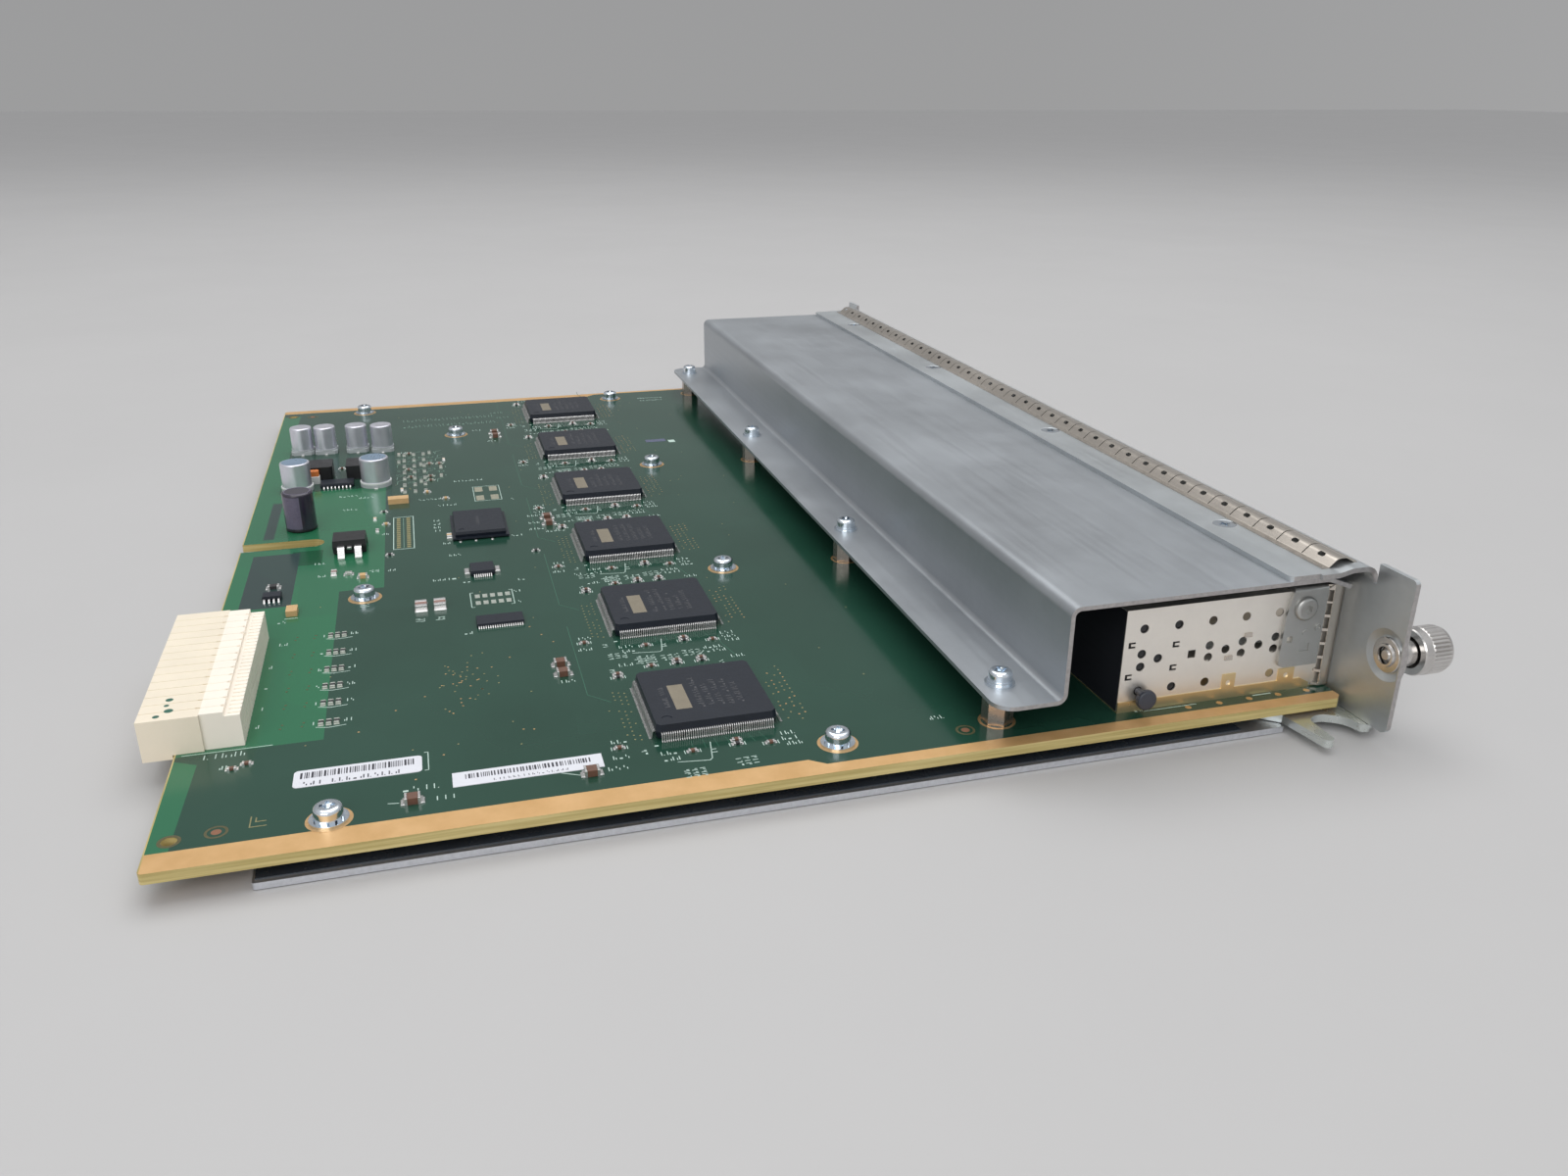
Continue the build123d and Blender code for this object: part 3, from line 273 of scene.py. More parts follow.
MAT = {
    "board": board_material(),
    "cover": sheet_metal("zinc_sheet", (0.430, 0.455, 0.480), 0.42, smudge=0.06, scratch=0.15, cut="x"),
    "tray": sheet_metal("zinc_sheet_tray", (0.430, 0.450, 0.470), 0.42, smudge=0.08, cut="side"),
    "face": sheet_metal("zinc_sheet_face", (0.555, 0.585, 0.60), 0.40, smudge=0.07, cut="x"),
    "bracket": sheet_metal("zinc_bracket", (0.50, 0.50, 0.485), 0.38),
    "cage": sheet_metal("nickel_cage", (0.90, 0.855, 0.79), 0.36, smudge=0.05, scratch=0.12),
    # cage rear plates: near-black painted shade, standing in for the shadow behind the cages under the cover
    "rear_plate": sheet_metal("rear_plate_painted_shade", (0.030, 0.032, 0.042), 0.40, metal=0.5),
    # cage floors: nickel tinted gold as a painted reflection of the gold board edge
    "cage_painted_gold_reflection": sheet_metal("nickel_cage_painted_gold_reflection", (0.78, 0.62, 0.36), 0.30, smudge=0.06, scratch=0.12),
    "finger": sheet_metal("nickel_fingers", (0.58, 0.53, 0.47), 0.22, smudge=0.08, scratch=0.12),
    "lever": sheet_metal("zinc_lever", (0.70, 0.74, 0.72), 0.27, smudge=0.06),
    "bright": simple("bright_zinc", (0.76, 0.82, 0.88), 1.0, 0.17, 0.06, 300.0, 0.06, 2500.0, 0.05),
    "turned": simple("turned_steel", (0.62, 0.60, 0.58), 1.0, 0.21, 0.05, 300.0, 0.05, 5000.0, 0.035,
                     stretch=(0.03, 1.0, 0.03)),
    "standoff": simple("standoff_steel", (0.48, 0.42, 0.38), 1.0, 0.30, 0.08, 300.0, 0.06, 3000.0, 0.05),
    "film": simple("black_film", (0.036, 0.044, 0.056), 0.0, 0.26, 0.2, 60.0, 0.05, 900.0, 0.04, spec=0.6),
    "chip": simple("chip_epoxy", (0.010, 0.014, 0.023), 0.0, 0.38, 0.10, 400.0, 0.05, 4200.0, 0.09, spec=0.42),
    "patch": simple("chip_patch", (0.27, 0.235, 0.175), 0.3, 0.42, 0.06, 400.0, 0.05, 4200.0, 0.06),
    "mark": simple("chip_mark", (0.088, 0.088, 0.094), 0.0, 0.50, 0.10, 500.0, 0.05),
    "tin": simple("tinned_lead", (0.80, 0.79, 0.78), 0.90, 0.30, 0.05, 700.0, 0.06, 3000.0, 0.05),
    "solder": simple("solder_fillet", (0.80, 0.80, 0.78), 1.0, 0.22, 0.06, 900.0, 0.07, 2500.0, 0.05),
    "silk": simple("silk_ink", (0.50, 0.64, 0.58), 0.0, 0.55, 0.10, 900.0, 0.05),
    "faint": simple("silk_ink_thin", (0.165, 0.275, 0.220), 0.0, 0.45, 0.10, 900.0, 0.05),
    "track": simple("covered_track", (0.035, 0.120, 0.078), 0.0, 0.22, 0.10, 900.0, 0.05),
    "copper": simple("gold_pad", (0.66, 0.42, 0.20), 0.7, 0.36, 0.10, 900.0, 0.06),
    "dull_copper": simple("dull_copper", (0.27, 0.125, 0.070), 0.3, 0.45, 0.12, 900.0, 0.06),
    "via": simple("tented_via", (0.30, 0.27, 0.13), 0.4, 0.42, 0.15, 900.0, 0.06),
    "olive": simple("olive_ring", (0.11, 0.10, 0.045), 0.3, 0.40, 0.15, 900.0, 0.06),
    "pad": simple("tinned_pad", (0.46, 0.49, 0.44), 0.4, 0.40, 0.10, 900.0, 0.06),
    "beige": simple("pale_pad", (0.34, 0.33, 0.25), 0.2, 0.45, 0.12, 900.0, 0.06),
    "cream": simple("cream_moulding", (0.86, 0.77, 0.62), 0.0, 0.40, 0.035, 70.0, 0.06, 1800.0, 0.05),
    "cream2": simple("cream_moulding_pale", (0.95, 0.88, 0.77), 0.0, 0.42, 0.03, 70.0, 0.06, 1800.0, 0.05),
    "black": simple("black_moulding", (0.014, 0.014, 0.016), 0.0, 0.38, 0.10, 200.0, 0.06, 2500.0, 0.06),
    "slate": simple("slate_moulding", (0.045, 0.050, 0.066), 0.0, 0.36, 0.10, 200.0, 0.06, 2500.0, 0.06),
    "base": simple("pale_base", (0.42, 0.45, 0.46), 0.0, 0.42, 0.08, 200.0, 0.06, 2500.0, 0.05),
    "can": simple("drawn_can", (0.74, 0.74, 0.81), 0.85, 0.36, 0.05, 200.0, 0.05, 3000.0, 0.05, stretch=(1, 1, 0.1)),
    "canblue": simple("can_top", (0.30, 0.42, 0.56), 0.6, 0.30, 0.08, 200.0, 0.05),
    "sleeve": simple("dark_sleeve", (0.026, 0.021, 0.038), 0.0, 0.20, 0.15, 200.0, 0.05, spec=0.6, coat=0.4),
    # pale sleeve rim on top, also used for a painted highlight panel on the lit side of the sleeve
    "sleeve_rim_and_painted_highlight": simple("pale_sleeve_rim_and_painted_highlight", (0.125, 0.110, 0.165), 0.0, 0.30, 0.10, 200.0, 0.05),
    "brown": simple("brown_ceramic", (0.150, 0.075, 0.050), 0.0, 0.40, 0.12, 900.0, 0.06),
    "rose": simple("rose_ceramic", (0.30, 0.17, 0.14), 0.0, 0.40, 0.12, 900.0, 0.06),
    "tan": simple("tan_moulding", (0.62, 0.40, 0.19), 0.0, 0.42, 0.08, 500.0, 0.06),
    "orange": simple("orange_block", (0.72, 0.21, 0.045), 0.0, 0.5, 0.08, 500.0, 0.06),
    "white": simple("white_moulding", (0.72, 0.74, 0.72), 0.0, 0.5, 0.04, 500.0, 0.06),
    "paper": simple("label_stock", (0.72, 0.73, 0.78), 0.0, 0.45, 0.03, 150.0, 0.05, 1200.0, 0.04),
    "bar": simple("label_bar", (0.030, 0.030, 0.042), 0.0, 0.50, 0.10, 500.0, 0.05),
    "violet": simple("violet_patch", (0.10, 0.115, 0.19), 0.0, 0.45, 0.10, 500.0, 0.05),
    "green_ink": simple("green_ink", (0.03, 0.13, 0.09), 0.0, 0.5, 0.10, 500.0, 0.05),
    "resistor": simple("resistor_glaze", (0.03, 0.03, 0.032), 0.0, 0.35, 0.10, 900.0, 0.06),
    "spring": simple("spring_wire", (0.60, 0.60, 0.60), 1.0, 0.24, 0.05, 900.0, 0.05, grain_amt=0.03),
    "floor": simple("pale_floor", (0.495, 0.489, 0.486), 0.0, 0.60, 0.015, 6.0, 0.03, 700.0, 0.03),
}


def clear_glass():
    m, nt, bs, co = tree("clear_moulding")
    bs.inputs["Base Color"].default_value = (0.85, 0.88, 0.88, 1)
    bs.inputs["Transmission Weight"].default_value = 0.75
    bs.inputs["IOR"].default_value = 1.49
    n2 = noise(nt, co, 400.0, 3.0, 0.6)
    nt.links.new(ramp(nt, n2, 0.10, 0.2), bs.inputs["Roughness"])
    return m


MAT["clear"] = clear_glass()

CAD_LOOK = {
    "circuit_board": "board", "base_tray": "tray", "board_standoffs": "standoff", "board_washers": "bright",
    "board_lock_washers": "bright", "board_screws": "bright", "cover": "cover", "cover_standoffs": "standoff",
    "cover_washers": "bright", "cover_lock_washers": "bright", "cover_screws": "bright", "faceplate": "face",
    "strip_screws": "bright", "cover_clinch_nuts": "standoff", "flange_rivets": "bright",
    "top_emi_gasket": "finger", "bottom_emi_gasket": "finger", "cage_emi_collar": "finger",
    "cage_shell_a": "cage", "cage_shell_b": "cage", "cage_shell_c": "cage", "cage_shell_d": "cage",
    "cage_floors": "cage_painted_gold_reflection", "cage_partitions": "cage", "cage_centre_channels": "cage", "cage_rear_plates": "rear_plate",
    "port_connectors": "black", "light_pipes": "clear", "side_bracket_left": "bracket",
    "side_bracket_right": "bracket", "bracket_screws": "bracket", "cage_side_plugs": "slate",
    "thumbscrew_ferrules": "turned", "thumbscrew_left": "turned", "thumbscrew_right": "turned",
    "spring_seat_left": "turned", "spring_seat_right": "turned", "thumbscrew_springs": "spring",
    "ejector_lever_left": "lever", "ejector_lever_right": "lever", "lever_pivots": "bright",
    "controller_chips": "chip", "logic_chips": "chip", "backplane_connector_housing": "cream",
    "backplane_connector_terminals": "cream2", "capacitor_bases": "base", "can_capacitors": "can",
    "sleeved_capacitor": "sleeve", "power_transistor": "black", "power_inductors": "black",
    "tantalum_capacitors": "tan", "chip_capacitors": "brown", "chip_resistors": "resistor",
    "board_labels": "paper", "tray_insulator": "film", "cover_insulator": "film",
}
for node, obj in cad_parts.items():
    look = MAT[CAD_LOOK.get(node, "turned")]
    if not obj.material_slots:
        obj.data.materials.append(look)
    for s in obj.material_slots:
        s.material = look


rng = random.Random(4217)

# ------------------------------------------------------------- mesh building
class Piece:
    """Collects small closed solids, in layout millimetres, into one mesh."""

    def __init__(self, name, mats, body="card"):
        self.name, self.mats, self.body = name, mats, body
        self.v, self.f, self.m, self.smooth = [], [], [], []

    def add(self, verts, faces, mat=0, smooth=False):
        o = len(self.v)
        self.v.extend(verts)
        for f in faces:
            self.f.append(tuple(i + o for i in f))
            self.m.append(mat)
            self.smooth.append(smooth)

    def box(self, x0, x1, y0, y1, z0, z1, mat=0):
        v = [(x0, y0, z0), (x1, y0, z0), (x1, y1, z0), (x0, y1, z0),
             (x0, y0, z1), (x1, y0, z1), (x1, y1, z1), (x0, y1, z1)]
        f = [(3, 2, 1, 0), (4, 5, 6, 7), (0, 1, 5, 4), (1, 2, 6, 5), (2, 3, 7, 6), (3, 0, 4, 7)]
        self.add(v, f, mat)

    def slab(self, x, y, w, l, z0, z1, mat=0, ang=0.0, bev=0.0):
        """Block turned about Z, with its top edges drawn in by bev."""
        ca, sa = math.cos(ang), math.sin(ang)
        v = []
        levels = ((z0, 0.0), (z1 - bev, 0.0), (z1, bev)) if bev else ((z0, 0.0), (z1, 0.0))
        for z, k in levels:
            for dx, dy in ((-w / 2 + k, -l / 2 + k), (w / 2 - k, -l / 2 + k),
                           (w / 2 - k, l / 2 - k), (-w / 2 + k, l / 2 - k)):
                v.append((x + dx * ca - dy * sa, y + dx * sa + dy * ca, z))
        n = len(v) // 4
        f = [(3, 2, 1, 0), tuple(range(4 * n - 4, 4 * n))]
        for r in range(n - 1):
            for i in range(4):
                j = (i + 1) % 4
                f.append((r * 4 + i, r * 4 + j, r * 4 + 4 + j, r * 4 + 4 + i))
        self.add(v, f, mat)

    def lathe(self, x, y, prof, seg=24, mat=0, smooth=True):
        """Turned solid about an upright axis; prof is (radius, z) from bottom to top, first and last radius 0."""
        v, rings = [], []
        for r, z in prof:
            if r <= 1e-6:
                rings.append([len(v)])
                v.append((x, y, z))
            else:
                rings.append(list(range(len(v), len(v) + seg)))
                for i in range(seg):
                    a = 2 * math.pi * i / seg
                    v.append((x + r * math.cos(a), y + r * math.sin(a), z))
        f = []
        for a, b in zip(rings[:-1], rings[1:]):
            if len(a) == 1 and len(b) == 1:
                continue
            for i in range(seg):
                j = (i + 1) % seg
                if len(a) == 1:
                    f.append((a[0], b[j], b[i]))
                elif len(b) == 1:
                    f.append((a[i], a[j], b[0]))
                else:
                    f.append((a[i], a[j], b[j], b[i]))
        self.add(v, f, mat, smooth)

    def ring(self, x, y, r0, r1, z0, z1, seg=32, mat=0):
        v = []
        for i in range(seg):
            a = 2 * math.pi * i / seg
            c, s = math.cos(a), math.sin(a)
            v += [(x + r0 * c, y + r0 * s, z0), (x + r1 * c, y + r1 * s, z0),
                  (x + r1 * c, y + r1 * s, z1), (x + r0 * c, y + r0 * s, z1)]
        f = []
        for i in range(seg):
            a, b = 4 * i, 4 * ((i + 1) % seg)
            f += [(a, b, b + 1, a + 1), (a + 1, b + 1, b + 2, a + 2), (a + 2, b + 2, b + 3, a + 3),
                  (a + 3, b + 3, b, a)]
        self.add(v, f, mat)

    def ribbon(self, origin, out, side, prof, width, thick, mat=0):
        """Formed lead: prof is (distance out, height) points, width along side."""
        ox, oy = origin
        pts = []
        n = len(prof)
        for i, (d, z) in enumerate(prof):
            a = prof[max(0, i - 1)]
            b = prof[min(n - 1, i + 1)]
            tx, tz = b[0] - a[0], b[1] - a[1]
            ln = math.hypot(tx, tz) or 1
            pts.append((d, z, -tz / ln, tx / ln))
        v = []
        for d, z, nx, nz in pts:
            for sgn in (-1, 1):
                for h in (-thick / 2, thick / 2):
                    dd, zz = d + nx * h, z + nz * h
                    v.append((ox + out[0] * dd + side[0] * sgn * width / 2,
                              oy + out[1] * dd + side[1] * sgn * width / 2, zz))
        f = [(0, 1, 3, 2)]
        for i in range(n - 1):
            a, b = 4 * i, 4 * i + 4
            f += [(a, b, b + 1, a + 1), (a + 1, b + 1, b + 3, a + 3), (a + 3, b + 3, b + 2, a + 2),
                  (a + 2, b + 2, b, a)]
        a = 4 * (n - 1)
        f.append((a, a + 2, a + 3, a + 1))
        self.add(v, f, mat)

    def coil(self, x, z, y0, y1, radius, wire, turns, seg=20, sides=8, mat=0):
        """Round wire wound about an axis along Y, its ends closed."""
        n = int(turns * seg) + 1
        v = []
        for i in range(n):
            t = i / (n - 1)
            a = 2 * math.pi * turns * t
            # the end turns lie flat
            u = min(1.0, max(0.0, (t * turns - 0.75) / max(1e-6, turns - 1.5)))
            yc = y0 + (y1 - y0) * u
            for k in range(sides):
                b = 2 * math.pi * k / sides
                r = radius + wire * math.cos(b)
                v.append((x + r * math.cos(a), yc + wire * math.sin(b), z + r * math.sin(a)))
        f = [tuple(range(sides)), tuple(range((n - 1) * sides, n * sides))]
        for i in range(n - 1):
            for k in range(sides):
                j = (k + 1) % sides
                f.append((i * sides + k, i * sides + j, (i + 1) * sides + j, (i + 1) * sides + k))
        self.add(v, f, mat, True)

    def line(self, pts, w, z0, z1, mat=0):
        """Thin flat line through points, one block per stretch."""
        for (xa, ya), (xb, yb) in zip(pts[:-1], pts[1:]):
            ln = math.hypot(xb - xa, yb - ya)
            self.slab((xa + xb) / 2, (ya + yb) / 2, ln, w, z0, z1, mat, math.atan2(yb - ya, xb - xa))

    def glyph(self, x, y, along, w, h, z0, z1, mat=0, t=0.22):
        """One printed tick group: separate short bars that spell nothing. (x, y) is its near left foot."""
        strokes = rng.choice((
            [(0.0, t, 0.0, h), (w * 0.55, w * 0.55 + t, 0.0, h * 0.5)],
            [(0.0, t, 0.0, h), (w * 0.55, w * 0.55 + t, 0.0, t)],
            [(w * 0.35, w * 0.35 + t, 0.0, h)],
            [(0.0, w * 0.7, 0.0, h * 0.35)],
            [(0.0, t, h * 0.55, h), (w * 0.55, w * 0.55 + t, 0.0, h * 0.45)],
            [(0.0, t, 0.0, h * 0.5), (w * 0.55, w * 0.55 + t, 0.0, h)],
        ))
        for u0, u1, v0, v1 in strokes:
            if along == "x":
                self.box(x + u0, x + u1, y + v0 - h / 2, y + v1 - h / 2, z0, z1, mat)
            else:
                self.box(x + v0 - h / 2, x + v1 - h / 2, y - u1, y - u0, z0, z1, mat)

    def done(self, replaces=(), slot=None):
        me = bpy.data.meshes.new(self.name)
        co = (np.array(self.v, float) + np.array(SHIFT)) / 1000.0
        me.from_pydata([tuple(c) for c in co], [], self.f)
        for name in self.mats:
            me.materials.append(MAT[name])
        me.polygons.foreach_set("material_index", self.m)
        me.polygons.foreach_set("use_smooth", self.smooth)
        me.update()
        import bmesh
        bm = bmesh.new()
        bm.from_mesh(me)
        bmesh.ops.recalc_face_normals(bm, faces=bm.faces)
        bm.to_mesh(me)
        bm.free()
        ob = bpy.data.objects.new(self.name, me)
        bpy.context.scene.collection.objects.link(ob)
        if any(self.smooth):
            md = ob.modifiers.new("edges", "EDGE_SPLIT")
            md.split_angle = math.radians(38)
        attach(ob, self.body)
        if replaces:
            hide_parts(*replaces)
        return ob


# -------------------------------------------------------- quad flat pack leads
CHIPS = [(37.5 + 57.0 * i, -115.5) for i in range(6)]
GULL = [(13.80, 1.97), (14.35, 1.97), (14.62, 1.70), (14.82, 0.35), (15.00, 0.13), (15.42, 0.09)]
leads = Piece("chip_leads", ["tin"])
for cx, cy in CHIPS:
    for out, side in (((1, 0), (0, 1)), ((-1, 0), (0, 1)), ((0, 1), (1, 0)), ((0, -1), (1, 0))):
        for k in range(52):
            s = (k - 25.5) * 0.5
            leads.ribbon((cx + side[0] * s, cy + side[1] * s), out, side, GULL, 0.22, 0.13)
leads.done(slot="bright_zinc")

marks = Piece("chip_markings", ["patch", "mark"])
TOP = 3.65
for n, (cx, cy) in enumerate(CHIPS):
    marks.slab(cx - 1.25, cy + 6.1, 12.3, 3.7, TOP - 0.01, TOP + 0.02, 0)
    for row in range(5):
        yy = cy + 1.9 - row * 2.3
        x = cx - 8.0 + rng.uniform(0, 1.2)
        end = cx + rng.choice((3.5, 5.5, 7.5))
        while x < end:
            if rng.random() < 0.93:
                marks.glyph(x, yy, "x", 0.85, 1.35, TOP - 0.01, TOP + 0.012, 1, 0.2)
            x += 1.22
    x = cx - 5.8
    while x < cx + 4.2:
        if abs(x - cx + 0.9) > 0.7:
            marks.glyph(x, cy + 9.6, "x", 0.75, 1.2, TOP - 0.01, TOP + 0.012, 1, 0.2)
        x += 1.05
for k in range(9):
    marks.glyph(175.0 + 0.9 * k, -72.0, "x", 0.6, 1.0, 2.69, 2.712, 1, 0.18)
marks.done(slot="paper")

# ------------------------------------------------------------- other IC leads
ic = Piece("ic_leads", ["tin"])


def gull(reach, top):
    return [(0.0, top), (reach * 0.35, top), (reach * 0.62, top * 0.3), (reach * 0.72, 0.10), (reach, 0.07)]


def ic_row(cx, cy, half, along, sides, count, pitch, reach, top, width):
    for sgn in sides:
        for k in range(count):
            s = (k - (count - 1) / 2) * pitch
            if along == "x":
                ic.ribbon((cx + s, cy + sgn * half), (0, sgn), (1, 0), gull(reach, top), width, 0.13)
            else:
                ic.ribbon((cx + sgn * half, cy + s), (sgn, 0), (0, 1), gull(reach, top), width, 0.13)


ic_row(138.6, -70.9, 3.75, "y", (-1, 1), 9, 0.6, 1.1, 0.8, 0.28)
ic_row(99.6, -73.2, 3.05, "y", (-1, 1), 20, 0.6, 1.0, 0.55, 0.26)
ic_row(132.8, -12.8, 1.95, "y", (-1, 1), 4, 1.27, 1.7, 0.8, 0.50)
ic_row(238.6, -26.2, 3.0, "y", (-1, 1), 8, 1.27, 1.0, 0.7, 0.36)
# power transistor legs
for dy in (-2.5, 2.5):
    ic.ribbon((164.5, -32.75 + dy), (-1, 0), (0, 1), [(0, 2.5), (1.3, 2.5), (2.0, 2.2), (3.0, 0.8), (3.5, 0.35), (5.2, 0.3)],
              2.0, 0.55)
ic.ribbon((164.5, -32.7), (-1, 0), (0, 1), [(0, 2.3), (0.9, 2.3), (1.2, 2.2)], 1.2, 0.6)
# end tabs of the small regulator
ic.slab(138.6, -66.5, 4.2, 1.5, 0.02, 0.75, 0, bev=0.2)
ic.slab(138.6, -75.3, 4.2, 1.5, 0.02, 0.75, 0, bev=0.2)
# solder spots along the near side of the ball-grid body
for yy in (-65.9, -70.7, -75.8):
    ic.lathe(166.5, yy, [(0, -0.01), (0.5, -0.01), (0.42, 0.22), (0, 0.3)], 14, 0)
ic.done(slot="bright_zinc")

# ------------------------------------------- ceramic and resistor chip details
CAPS_LONG = [(115.0, -52.9), (115.0, -57.95)]
CAPS = [(68.2, -85.7), (62.5, -85.7), (182.6, -94.7), (176.3, -94.7), (12.3, -49.3), (13.3, -85.8),
        (296.4, -85.5), (290.6, -85.5)]
caps = Piece("ceramic_capacitors", ["brown", "tin", "solder", "rose"])


def smd(piece, x, y, l, w, h, along, body=0, end=1, frac=0.2):
    e = l * frac
    for sgn in (-1, 1):
        dx, dy = ((sgn * (l - e) / 2, 0) if along == "x" else (0, sgn * (l - e) / 2))
        ww, ll = (e, w) if along == "x" else (w, e)
        piece.slab(x + dx, y + dy, ww, ll, 0.0, h, end, bev=min(0.12, h * 0.2))
        # solder fillet
        dx2, dy2 = ((sgn * (l / 2 + e * 0.35), 0) if along == "x" else (0, sgn * (l / 2 + e * 0.35)))
        ww2, ll2 = (e * 0.9, w * 1.08) if along == "x" else (w * 1.08, e * 0.9)
        piece.slab(x + dx2, y + dy2, ww2, ll2, -0.01, h * 0.32, end, bev=h * 0.16)
    ww, ll = (l - 2 * e, w * 0.97) if along == "x" else (w * 0.97, l - 2 * e)
    piece.slab(x, y, ww, ll, 0.02, h * 0.97, body, bev=min(0.1, h * 0.15))


for x, y in CAPS:
    smd(caps, x, y, 3.2, 2.6, 1.6, "y", 0, 1, 0.17)
    for sgn in (-1, 1):
        caps.slab(x - 0.2, y + sgn * 2.05, 2.2, 0.75, -0.01, 0.34, 2, bev=0.12)
for x, y in CAPS_LONG:
    smd(caps, x, y, 4.4, 3.2, 1.6, "x", 3, 1, 0.3)
    caps.slab(x - 2.95, y, 1.3, 3.1, -0.01, 0.3, 2, bev=0.1)
caps.done(replaces=("chip_capacitors",), slot="ceramic_brown")

res = Piece("resistors", ["resistor", "pad"])
R = []
for cx in (101.9, 91.1, 80.9, 71.3, 62.2, 52.1):
    for dy in (-1.7, 0.0, 1.7):
        R.append((cx, -31.4 + dy))
for cx in (224.0, 232.0, 240.0, 248.0, 256.0, 264.0, 272.0):
    for dy in (-3.6, 0.0, 3.6):
        R.append((cx, -53.0 + dy))
for x, y in R:
    smd(res, x, y, 2.0, 1.2, 0.6, "x", 0, 1, 0.24)
res.done(replaces=("chip_resistors",), slot="resistor_black")

# tiny parts, printed marks and small holes
tiny = Piece("tiny_passives", ["brown", "tin", "resistor", "tan", "rose", "pad"])
silk = Piece("board_print", ["silk", "faint", "track"])
pads = Piece("board_pads", ["copper", "via", "olive", "pad", "beige", "violet", "dull_copper"])
SZ0, SZ1 = -0.01, 0.022


def word(x, y, n, h=1.55, w=0.95, gap=0.42, along="y", mat=0):
    """Row of meaningless marks that stands for a printed line, from its left end."""
    for k in range(n):
        s = k * (w + gap)
        if along == "x":
            silk.glyph(x + s, y, "x", w, h, SZ0, SZ1, mat)
        else:
            silk.glyph(x, y - s, "y", w, h, SZ0, SZ1, mat)


def block(x0, x1, y0, y1, pitch=1.75, mat=0):
    """Turned words side by side."""
    n = max(2, int((x1 - x0) / 1.3))
    y = y0
    while y > y1:
        word(x0, y, n, 1.2, 0.9, 0.38, "x", mat)
        y -= pitch


def dot(x, y, r=0.26, mat=1):
    pads.lathe(x, y, [(0, -0.01), (r, -0.01), (r, 0.02), (0, 0.02)], 8, mat, False)


def frame_line(x0, x1, y0, y1, t=0.18):
    silk.box(x0, x1, y0, y0 + t, SZ0, SZ1)
    silk.box(x0, x1, y1 - t, y1, SZ0, SZ1)
    silk.box(x0, x0 + t, y0 + t, y1 - t, SZ0, SZ1)
    silk.box(x1 - t, x1, y0 + t, y1 - t, SZ0, SZ1)


WORDS = [(-12.0, 23.8, 3), (-18.9, 24.4, 3), (-19.9, 14.1, 3), (-22.6, 13.9, 3), (-18.0, -13.2, 3), (-20.4, -13.2, 3),
         (-22.8, -13.6, 3), (26.4, 15.8, 3), (31.2, -6.9, 4), (28.9, -7.3, 4), (24.4, -12.6, 3)]
BLOCKS = [(-31.2, -26.0, 10.2, 5.2), (-29.4, -24.6, -1.6, -5.8), (25.9, 30.2, 10.9, 6.0), (26.2, 30.2, 4.2, -0.8)]
PARTS = [(-15.0, 22.4, "y", 0), (-20.6, 7.2, "y", 0), (-20.1, -3.0, "y", 1), (-21.5, -10.3, "y", 0), (19.7, 17.1, "y", 1),
         (23.9, 8.1, "y", 0), (23.8, 1.5, "y", 1), (23.8, -4.8, "y", 1)]
for n, (cx, cy) in enumerate(CHIPS):
    for rx, ry, k in WORDS:
        if cx + rx < 351:
            word(cx + rx, cy + ry, k)
    if n:
        block(cx - 26.6, cx - 21.6, cy + 17.0, cy + 12.2)
    for x0, x1, y0, y1 in BLOCKS:
        if cx + x1 < 351:
            block(cx + x0, cx + x1, cy + y0, cy + y1)
    for rx, ry, k in ((-19.2, 17.4, 2), (-22.6, 2.6, 2), (22.4, 17.9, 2), (20.6, -9.5, 2)):
        word(cx + rx, cy + ry, k, 1.2, 0.9, 0.38, "x")
    silk.line([(cx - 24.3, cy + 11.3), (cx - 25.3, cy + 4.4), (cx - 24.6, cy + 3.7), (cx - 17.6, cy + 2.6)], 0.2, SZ0, SZ1, 0)
    silk.line([(cx + 24.6, cy - 4.4), (cx + 27.6, cy - 5.2), (cx + 29.4, cy - 6.6)], 0.2, SZ0, SZ1, 0)
    silk.box(cx - 16.4, cx - 15.9, cy + 13.9, cy + 14.8, SZ0, SZ1)
    for rx, ry, al, k in PARTS:
        if cx + rx > 350:
            continue
        smd(tiny, cx + rx, cy + ry, 1.9, 1.05, 0.6, al, (0, 2)[k] if k else 0, 1, 0.28)
        if k:
            smd(tiny, cx + rx + 1.75, cy + ry - 0.2, 1.9, 1.05, 0.6, al, 0, 1, 0.28)
        for sgn in (-1, 1):
            silk.box(cx + rx - 0.75, cx + rx + 0.75, cy + ry + sgn * 1.75 - 0.1, cy + ry + sgn * 1.75 + 0.1, SZ0, SZ1)
    # small covered tracks
    silk.line([(cx + 12.4, cy + 25.6), (cx + 7.3, cy + 20.8)], 0.22, -0.01, 0.012, 2)
    silk.line([(min(350.0, cx + 54.0), cy + 25.4), (cx + 12.4, cy + 25.6)], 0.22, -0.01, 0.012, 2)
    silk.line([(cx + 24.0, cy - 14.0), (cx + 33.0, cy - 12.0), (cx + 38.0, cy - 12.2)], 0.2, -0.01, 0.012, 2)
    for k in range(7):
        silk.line([(cx + 16.0, cy - 11.0 + k * 1.4), (cx + 20.5, cy - 9.5 + k * 1.5)], 0.13, -0.01, 0.012, 2)
        silk.line([(cx - 16.0, cy - 9.0 + k * 2.6), (cx - 20.0, cy - 10.0 + k * 2.8)], 0.13, -0.01, 0.012, 2)
    # small holes in slanting rows to the right and left of each chip
    for c in range(4):
        for r in range(12):
            if rng.random() < 0.82:
                dot(cx - 11.5 + r * 2.1 + c * 0.6, cy - 17.2 - c * 1.55 + rng.uniform(-.1, .1), 0.25,
                    0 if rng.random() < 0.4 else 1)
    for c in range(3):
        for r in range(13):
            if rng.random() < 0.72:
                dot(cx - 12.5 + r * 1.95 + c * 0.5, cy + 17.0 + c * 1.35, 0.23, 1)
